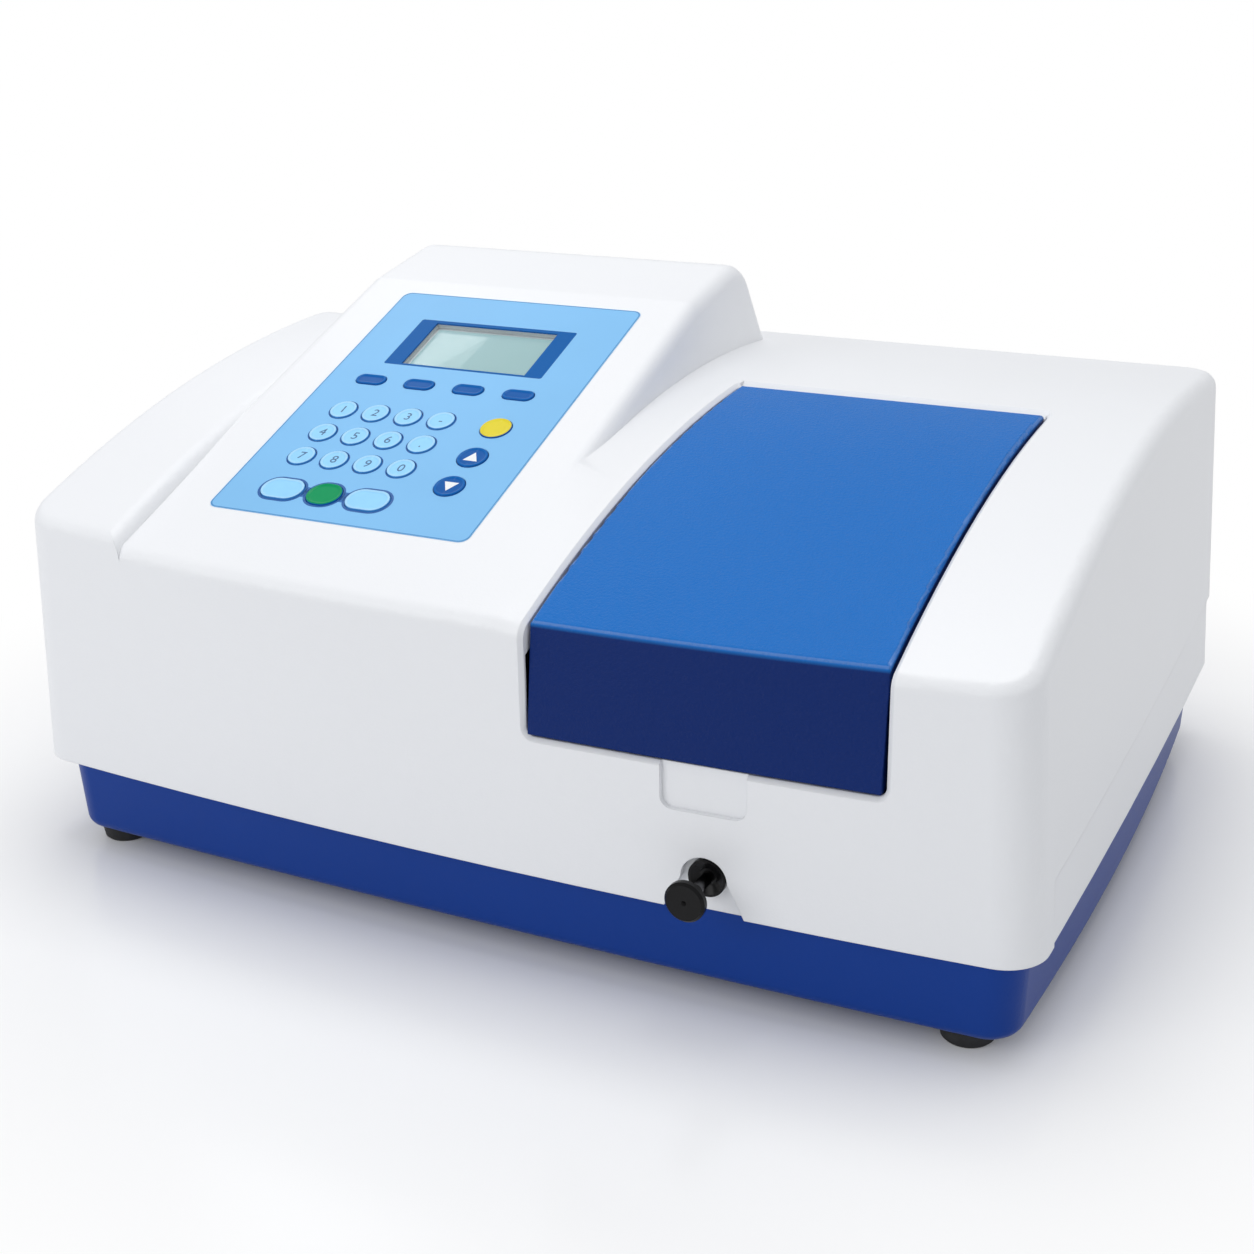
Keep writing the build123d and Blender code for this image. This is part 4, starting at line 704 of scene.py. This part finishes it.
# Keypad film: a satin polycarbonate overlay, printed sky blue from behind.
# The display's border and the dark outlines of the keys are printed on it.
FILM_BLUE = (0.228, 0.520, 0.845, 1)
BORDER_BLUE = (0.004, 0.108, 0.375, 1)
OUTLINE_BLUE = (0.008, 0.105, 0.360, 1)
FILM_TOP = 0.0002
INK = 0.00005
LINE_START = 0.0003
NUMBER_LINE_END = 0.0007
WIDE_LINE_END = 0.0014


def satin_film(name, colour, specular=0.15):
    material, shader, add, join = new_material(name)
    place = add("ShaderNodeTexCoord")
    soft = add("ShaderNodeTexNoise", Scale=14.0, Detail=2.0)
    tooth = add("ShaderNodeTexNoise", Scale=4200.0, Detail=1.0)
    join(place.outputs["Object"], soft.inputs["Vector"])
    join(place.outputs["Object"], tooth.inputs["Vector"])
    shade = add("ShaderNodeMix", data_type="RGBA")
    shade.inputs["A"].default_value = tint(colour, 0.94)
    shade.inputs["B"].default_value = tint(colour, 1.06)
    join(soft.outputs["Fac"], shade.inputs["Factor"])
    join(shade.outputs["Result"], shader.inputs["Base Color"])
    bump = add("ShaderNodeBump", Strength=0.08, Distance=0.00005)
    join(tooth.outputs["Fac"], bump.inputs["Height"])
    join(bump.outputs["Normal"], shader.inputs["Normal"])
    shader.inputs["Roughness"].default_value = 0.34
    shader.inputs["Specular IOR Level"].default_value = specular
    return material


smooth_skin("keypad_overlay", satin_film("keypad_film", FILM_BLUE))
smooth_skin("display_bezel", satin_film("display_border", BORDER_BLUE, specular=0.06))


def stadium(middle, size, inset=0.0, steps=20):
    """The outline of a key: a circle, or two half circles joined by straight sides."""
    radius = size[1] / 2 - inset
    straight = (size[0] - size[1]) / 2
    points = []
    for end, start in ((1, -pi / 2), (-1, pi / 2)):
        for step in range(steps + 1):
            angle = start + pi * step / steps
            points.append((middle[0] + end * straight + radius * cos(angle), middle[1] + radius * sin(angle)))
    return points


outline_ink = printed_ink("outline_ink", OUTLINE_BLUE)


def printed_ring(name, inner, outer):
    """A printed line between two outlines with as many points each."""
    form = bmesh.new()
    for level in (FILM_TOP, FILM_TOP + INK):
        for x, y in inner + outer:
            form.verts.new((x, y, level))
    form.verts.ensure_lookup_table()
    count = len(form.verts) // 4
    for a, b in ((0, 1), (1, 3), (3, 2), (2, 0)):
        for k in range(count):
            following = (k + 1) % count
            form.faces.new([form.verts[i] for i in (a * count + k, a * count + following,
                                                    b * count + following, b * count + k)])
    bmesh.ops.recalc_face_normals(form, faces=form.faces)
    mesh = bpy.data.meshes.new(name)
    form.to_mesh(mesh)
    form.free()
    return mesh


# Keys: soft caps that rise through the film, each with a raised rim round a dished face.
# The number keys match the film; the menu key is yellow, the start key green, the rest dark blue.
KEY_BASE = -0.0061
KEY_FLANGE = 0.0009
KEY_RISE = 0.0010
KEY_RIM = 0.0008
NUMBER_SIZE = (0.0132, 0.0132)
NUMBER_FIRST = (-0.0426, -0.0116)
NUMBER_PITCH = (0.0178, 0.0188)
SOFT_SIZE = (0.0162, 0.0078)
SOFT_FIRST = (-0.0425, 0.0143)
SOFT_PITCH = 0.0268
OVAL_SIZE = (0.0216, 0.0144)
START_SIZE = (0.0172, 0.0152)
BOTTOM_ROW = -0.0738


def key_plastic(name, colour, roughness=0.28):
    material, shader, add, join = new_material(name)
    place = add("ShaderNodeTexCoord")
    soft = add("ShaderNodeTexNoise", Scale=220.0, Detail=2.0)
    join(place.outputs["Object"], soft.inputs["Vector"])
    shade = add("ShaderNodeMix", data_type="RGBA")
    shade.inputs["A"].default_value = tint(colour, 0.95)
    shade.inputs["B"].default_value = tint(colour, 1.05)
    join(soft.outputs["Fac"], shade.inputs["Factor"])
    join(shade.outputs["Result"], shader.inputs["Base Color"])
    shader.inputs["Roughness"].default_value = roughness
    shader.inputs["Specular IOR Level"].default_value = 0.1
    shader.inputs["Coat Weight"].default_value = 0.03
    shader.inputs["Coat Roughness"].default_value = 0.12
    return material


# Key colours on one plastic: a darker side colour is painted shade and a lighter rim colour a painted
# highlight.
side_shade_blue = key_plastic("key_side_blue", (0.050, 0.250, 0.620, 1))
rim_highlight_blue = key_plastic("key_rim_blue", (0.400, 0.710, 0.960, 1))
face_blue = key_plastic("key_face_blue", (0.315, 0.660, 0.970, 1))
deep_blue = key_plastic("key_deep_blue", (0.003, 0.098, 0.375, 1))
deep_rim_highlight = key_plastic("key_deep_rim", (0.006, 0.130, 0.440, 1))
menu_yellow = key_plastic("key_yellow", (0.760, 0.640, 0.040, 1))
start_green = key_plastic("key_green", (0.004, 0.300, 0.105, 1))


def key_cap(node, middle, size, colours):
    """A key from its flange under the frame, up its side, over its rim and down to its dished face."""
    side, rim, face = 0, 1, 2
    levels = [(-KEY_FLANGE, KEY_BASE), (-KEY_FLANGE, KEY_BASE + KEY_FLANGE), (0.0, KEY_BASE + KEY_FLANGE),
              (0.0, KEY_RISE - 0.0007), (0.0002, KEY_RISE - 0.0002), (0.0006, KEY_RISE), (KEY_RIM, KEY_RISE),
              (KEY_RIM + 0.0005, KEY_RISE - 0.00035), (KEY_RIM + 0.0011, KEY_RISE - 0.0005),
              (KEY_RIM + 0.0020, KEY_RISE - 0.00045)]
    loops = [(stadium(middle, size, inset), level) for inset, level in levels]
    # the side zone takes painted shade and the rim zone a painted highlight
    zones = [side] * 4 + [rim] * 3 + [face] * 2
    body = frame["nodes"][node]["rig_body"]
    console_plate(f"{node}_cap", loops, colours, body, (node,), zones=zones, smooth=True)


KEY_MARK_HEIGHT = 0.0052
KEY_MARK_LEVEL = 0.00058


def key_mark(node, text, middle, material):
    where = keypad @ Matrix.Translation((*middle, KEY_MARK_LEVEL))
    body = frame["nodes"][node]["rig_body"]
    lettering(f"{node}_mark", text, KEY_MARK_HEIGHT, where, material, body, depth=0.00003)


mark_ink = printed_ink("mark_ink", (0.060, 0.150, 0.300, 1))
seats = []
for index, (mark, sign) in enumerate(zip("1 2 3 minus 4 5 6 point 7 8 9 0".split(), "123-456.7890")):
    spot = (NUMBER_FIRST[0] + index % 4 * NUMBER_PITCH[0], NUMBER_FIRST[1] - index // 4 * NUMBER_PITCH[1])
    key_cap(f"key_{mark}", spot, NUMBER_SIZE, [side_shade_blue, rim_highlight_blue, face_blue])
    key_mark(f"key_{mark}", sign, spot, mark_ink)
    seats.append((*spot, 0.0))
number_line = printed_ring("number_outline", stadium((0, 0), NUMBER_SIZE, -LINE_START),
                           stadium((0, 0), NUMBER_SIZE, -NUMBER_LINE_END))
number_rings = scatter("number_outlines", seats, number_line, outline_ink, "body", ())
number_rings.data.transform(keypad)

for index in range(4):
    spot = (SOFT_FIRST[0] + index * SOFT_PITCH, SOFT_FIRST[1])
    key_cap(f"soft_key_{index + 1}", spot, SOFT_SIZE, [deep_blue, deep_rim_highlight, deep_blue])

MENU_KEY = (0.0400, -0.0123)
MENU_SIZE = (0.0150, 0.0150)
UP_KEY = (0.0400, -0.0352)
DOWN_KEY = (0.0400, -0.0569)
ARROW_KEY_SIZE = (0.0144, 0.0144)
CLEAR_KEY = (-0.0373, BOTTOM_ROW)
START_KEY = (-0.0150, BOTTOM_ROW)
STOP_KEY = (0.0077, BOTTOM_ROW)
key_cap("menu_key", MENU_KEY, MENU_SIZE, [deep_blue, menu_yellow, menu_yellow])
key_cap("up_key", UP_KEY, ARROW_KEY_SIZE, [deep_blue, deep_rim_highlight, deep_blue])
key_cap("down_key", DOWN_KEY, ARROW_KEY_SIZE, [deep_blue, deep_rim_highlight, deep_blue])
key_cap("clear_key", CLEAR_KEY, OVAL_SIZE, [side_shade_blue, rim_highlight_blue, face_blue])
key_cap("start_key", START_KEY, START_SIZE, [deep_blue, start_green, start_green])
key_cap("stop_key", STOP_KEY, OVAL_SIZE, [side_shade_blue, rim_highlight_blue, face_blue])

ARROW_HALF = 0.0036
ARROW_LEVEL = 0.00055
ARROW_INK = 0.00004


def arrow(node, middle, way):
    """A white triangle printed on a key's face; it points up where way is 1 and down where it is -1."""
    foot = middle[1] - way * ARROW_HALF * 0.75
    points = [(middle[0] - way * ARROW_HALF, foot), (middle[0] + way * ARROW_HALF, foot),
              (middle[0], middle[1] + way * ARROW_HALF)]
    loops = [(points, ARROW_LEVEL - ARROW_INK), (points, ARROW_LEVEL + ARROW_INK)]
    console_plate(f"{node}_arrow", loops, white_ink, frame["nodes"][node]["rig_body"])


arrow("up_key", UP_KEY, 1)
arrow("down_key", DOWN_KEY, -1)


def film_print(name, inner, outer, material):
    mesh = printed_ring(name, inner, outer)
    mesh.transform(keypad)
    place_piece(bpy.data.objects.new(name, mesh), material, "body")


bottom_keys = (("clear_key", CLEAR_KEY, OVAL_SIZE), ("start_key", START_KEY, START_SIZE),
               ("stop_key", STOP_KEY, OVAL_SIZE))
for node, spot, size in bottom_keys:
    film_print(f"{node}_outline", stadium(spot, size, -LINE_START), stadium(spot, size, -WIDE_LINE_END),
               outline_ink)

LINK_HEIGHT = 0.0070
link_ink = printed_ink("link_ink", (0.012, 0.135, 0.440, 1))
for side, left, right in (("left", -0.0259, -0.0240), ("right", -0.0060, -0.0037)):
    bar = rectangle(((left + right) / 2, BOTTOM_ROW), (right - left, LINK_HEIGHT))
    loops = [(bar, FILM_TOP), (bar, FILM_TOP + INK)]
    console_plate(f"{side}_link_print", loops, link_ink, "body")

# Film edge: a thin mid-blue line printed at the film's very edge is painted shade on the film's proud side.
FILM_SIZE = (0.1340, 0.1840)
EDGE_INNER = {"grow": -0.0007, "corner": 0.0041}
EDGE_OUTER = {"grow": -0.0002, "corner": 0.0043}
edge_shade_ink = printed_ink("edge_shade_ink", (0.060, 0.260, 0.560, 1))
film_print("film_edge_line", rectangle((0, 0), FILM_SIZE, **EDGE_INNER),
           rectangle((0, 0), FILM_SIZE, **EDGE_OUTER), edge_shade_ink)

# Lid: a hood moulded in brighter blue with a leather-like grain on its long curved top.
# Below its curved top, its front, sides and underside are the same moulding with shade painted in as a deeper
# blue; a steel rod hinges it.
LID_BLUE = (0.0080, 0.155, 0.535, 1)
LID_SHADE_BLUE = (0.002, 0.021, 0.145, 1)
LID_GRAIN = 0.0012
LID_SHEEN = 0.13
EDGE_SHEEN = 0.95
EDGE_DEPTH = 0.0020
SHADE_DEPTH = 0.0026
BRIGHT_DEPTH = 0.0012
ARC_RADIUS = 0.62713
ARC_Y = 0.0715
ARC_TOP = 0.2019


def lid_moulding(name):
    """Bright on the curved top, polished on its edge and painted deeper blue below as painted shade: the
    depth under the top's arc tells.
    """
    material = moulded_plastic(name, LID_BLUE, LID_GRAIN, relief=0.2, roughness=0.34, cloud=0.05,
                               specular=LID_SHEEN, edge=0.0009)
    shader, add, join = open_material(material)
    colour = shader.inputs["Base Color"].links[0].from_socket
    place = add("ShaderNodeTexCoord")
    centre = add("ShaderNodeVectorMath", operation="MULTIPLY_ADD")
    centre.inputs[1].default_value = (0, 1, 1)
    centre.inputs[2].default_value = (0, -ARC_Y, ARC_RADIUS - ARC_TOP)
    reach = add("ShaderNodeVectorMath", operation="LENGTH")
    ramp = add("ShaderNodeMapRange")
    ramp.inputs["From Min"].default_value = ARC_RADIUS - SHADE_DEPTH
    ramp.inputs["From Max"].default_value = ARC_RADIUS - BRIGHT_DEPTH
    # painted shade: the deeper blue is mixed in by the depth under the top's arc
    shade = add("ShaderNodeMix", data_type="RGBA")
    shade.inputs["A"].default_value = LID_SHADE_BLUE
    join(place.outputs["Object"], centre.inputs[0])
    join(centre.outputs["Vector"], reach.inputs[0])
    join(reach.outputs["Value"], ramp.inputs["Value"])
    join(ramp.outputs["Result"], shade.inputs["Factor"])
    join(colour, shade.inputs["B"])
    join(shade.outputs["Result"], shader.inputs["Base Color"])
    edge = add("ShaderNodeMapRange")
    edge.inputs["From Min"].default_value = ARC_RADIUS - EDGE_DEPTH
    edge.inputs["From Max"].default_value = ARC_RADIUS
    worn = add("ShaderNodeValToRGB")
    for position, level in ((0.35, LID_SHEEN), (0.62, EDGE_SHEEN), (0.84, EDGE_SHEEN), (0.92, LID_SHEEN)):
        worn.color_ramp.elements.new(position).color = (level, level, level, 1)
    for end in (worn.color_ramp.elements[0], worn.color_ramp.elements[-1]):
        end.color = (LID_SHEEN, LID_SHEEN, LID_SHEEN, 1)
    join(reach.outputs["Value"], edge.inputs["Value"])
    join(edge.outputs["Result"], worn.inputs["Fac"])
    join(worn.outputs["Color"], shader.inputs["Specular IOR Level"])
    return material


smooth_skin("lid", lid_moulding("lid_moulding"))
smooth_skin("lid_hinge_rod", zinc_plate)

# Studio: a pale satin floor, soft lights from above, in front and beside, and the camera.
# Away from the instrument the floor fades to white, only where it is seen or mirrored.
FLOOR_HALF = 12.0
FADE_START = 0.22
FADE_END = 0.48
floor_mesh = bpy.data.meshes.new("floor")
corners = [(sx * FLOOR_HALF, sy * FLOOR_HALF, 0) for sx, sy in ((-1, -1), (1, -1), (1, 1), (-1, 1))]
floor_mesh.from_pydata(corners, [], [(0, 1, 2, 3)])
floor = bpy.data.objects.new("floor", floor_mesh)
bpy.context.scene.collection.objects.link(floor)
floor_white, floor_shader, add, join = new_material("floor_white")
floor_place = add("ShaderNodeTexCoord")
floor_cloud = add("ShaderNodeTexNoise", Scale=3.0, Detail=2.0)
join(floor_place.outputs["Object"], floor_cloud.inputs["Vector"])
floor_tone = add("ShaderNodeMix", data_type="RGBA")
floor_tone.inputs["A"].default_value = (0.900, 0.905, 0.920, 1)
floor_tone.inputs["B"].default_value = (0.920, 0.925, 0.938, 1)
join(floor_cloud.outputs["Fac"], floor_tone.inputs["Factor"])
join(floor_tone.outputs["Result"], floor_shader.inputs["Base Color"])
floor_shader.inputs["Roughness"].default_value = 0.20
floor_shader.inputs["Specular IOR Level"].default_value = 0.5
backdrop = add("ShaderNodeEmission", Strength=1.0)
far_off = add("ShaderNodeVectorMath", operation="LENGTH")
fade = add("ShaderNodeMapRange", interpolation_type="SMOOTHSTEP")
fade.inputs["From Min"].default_value = FADE_START
fade.inputs["From Max"].default_value = FADE_END
join_white = add("ShaderNodeMixShader")
join(floor_place.outputs["Object"], far_off.inputs[0])
join(far_off.outputs["Value"], fade.inputs["Value"])
seen = add("ShaderNodeLightPath")
looks = add("ShaderNodeMath", operation="MAXIMUM")
join(seen.outputs["Is Camera Ray"], looks.inputs[0])
join(seen.outputs["Is Glossy Ray"], looks.inputs[1])
white_part = add("ShaderNodeMath", operation="MULTIPLY")
join(fade.outputs["Result"], white_part.inputs[0])
join(looks.outputs[0], white_part.inputs[1])
join(white_part.outputs[0], join_white.inputs["Fac"])
join(floor_shader.outputs["BSDF"], join_white.inputs[1])
join(backdrop.outputs["Emission"], join_white.inputs[2])
join(join_white.outputs["Shader"], floor_white.node_tree.nodes["Material Output"].inputs["Surface"])
floor_mesh.materials.append(floor_white)

SKY_LIGHT = 0.57
SKY_SEEN = 1.0
world = bpy.data.worlds.new("studio")
bpy.context.scene.world = world
world.use_nodes = True
sky = world.node_tree
background = sky.nodes["Background"]
rays = sky.nodes.new("ShaderNodeLightPath")
strength = sky.nodes.new("ShaderNodeMapRange")
strength.inputs["To Min"].default_value = SKY_LIGHT
strength.inputs["To Max"].default_value = SKY_SEEN
sky.links.new(rays.outputs["Is Camera Ray"], strength.inputs["Value"])
sky.links.new(strength.outputs["Result"], background.inputs["Strength"])
background.inputs["Color"].default_value = (0.97, 0.98, 1.0, 1)

LIGHT_AIM = Vector((0, 0, 0.1))


def softbox(name, place, size, watts):
    """A rectangular lamp that faces the middle of the instrument."""
    lamp = bpy.data.lights.new(name, "AREA")
    lamp.shape = "RECTANGLE"
    lamp.size, lamp.size_y = size
    lamp.energy = watts
    holder = bpy.data.objects.new(name, lamp)
    bpy.context.scene.collection.objects.link(holder)
    holder.location = place
    holder.rotation_euler = (LIGHT_AIM - Vector(place)).to_track_quat("-Z", "Y").to_euler()
    return holder


softbox("overhead", (0.0, 0.2, 1.8), (1.3, 1.0), 12.5)
softbox("front_fill", (-0.9, -1.8, 1.0), (1.4, 1.0), 11.0)
softbox("side_fill", (1.9, -0.5, 0.9), (1.2, 1.0), 1.2)

EDGE_LAMP_SIZE = (0.16, 0.24)


def edge_lamp(name, top, bottom, watts):
    """A small lamp seen in the display: one long edge of it runs from top to bottom."""
    along = (Vector(top) - Vector(bottom)).normalized()
    away = Vector((-0.51, 0.48, 0.71)).normalized()
    across = along.cross(away).normalized()
    away = across.cross(along)
    lamp = softbox(name, top, EDGE_LAMP_SIZE, watts)
    middle = (Vector(top) + Vector(bottom)) / 2 - across * EDGE_LAMP_SIZE[0] / 2
    lamp.matrix_world = Matrix.Translation(middle) @ Matrix((across, along, away)).transposed().to_4x4()


edge_lamp("display_glare", (-0.4851, 0.4154, 0.7901), (-0.5002, 0.3641, 0.7817), 0.12)
edge_lamp("display_sheen", (-0.4860, 0.4160, 0.7910), (-0.5225, 0.3623, 0.7774), 0.12)

CAMERA_PLACE = (0.3753, -0.7686, 0.4147)
CAMERA_LENS = 53.97
camera_data = bpy.data.cameras.new("camera")
camera_data.lens = CAMERA_LENS
camera_data.sensor_width = 36.0
camera_data.clip_end = 50.0
camera = bpy.data.objects.new("camera", camera_data)
bpy.context.scene.collection.objects.link(camera)
right = Vector((0.89712, 0.44150, -0.01581))
upward = Vector((-0.14458, 0.32722, 0.93382))
behind = Vector((0.41746, -0.83546, 0.35739))
turn = Matrix((right, upward, behind)).transposed().to_4x4()
camera.matrix_world = Matrix.Translation(CAMERA_PLACE) @ turn
bpy.context.scene.camera = camera
bpy.context.scene.view_settings.view_transform = "Standard"
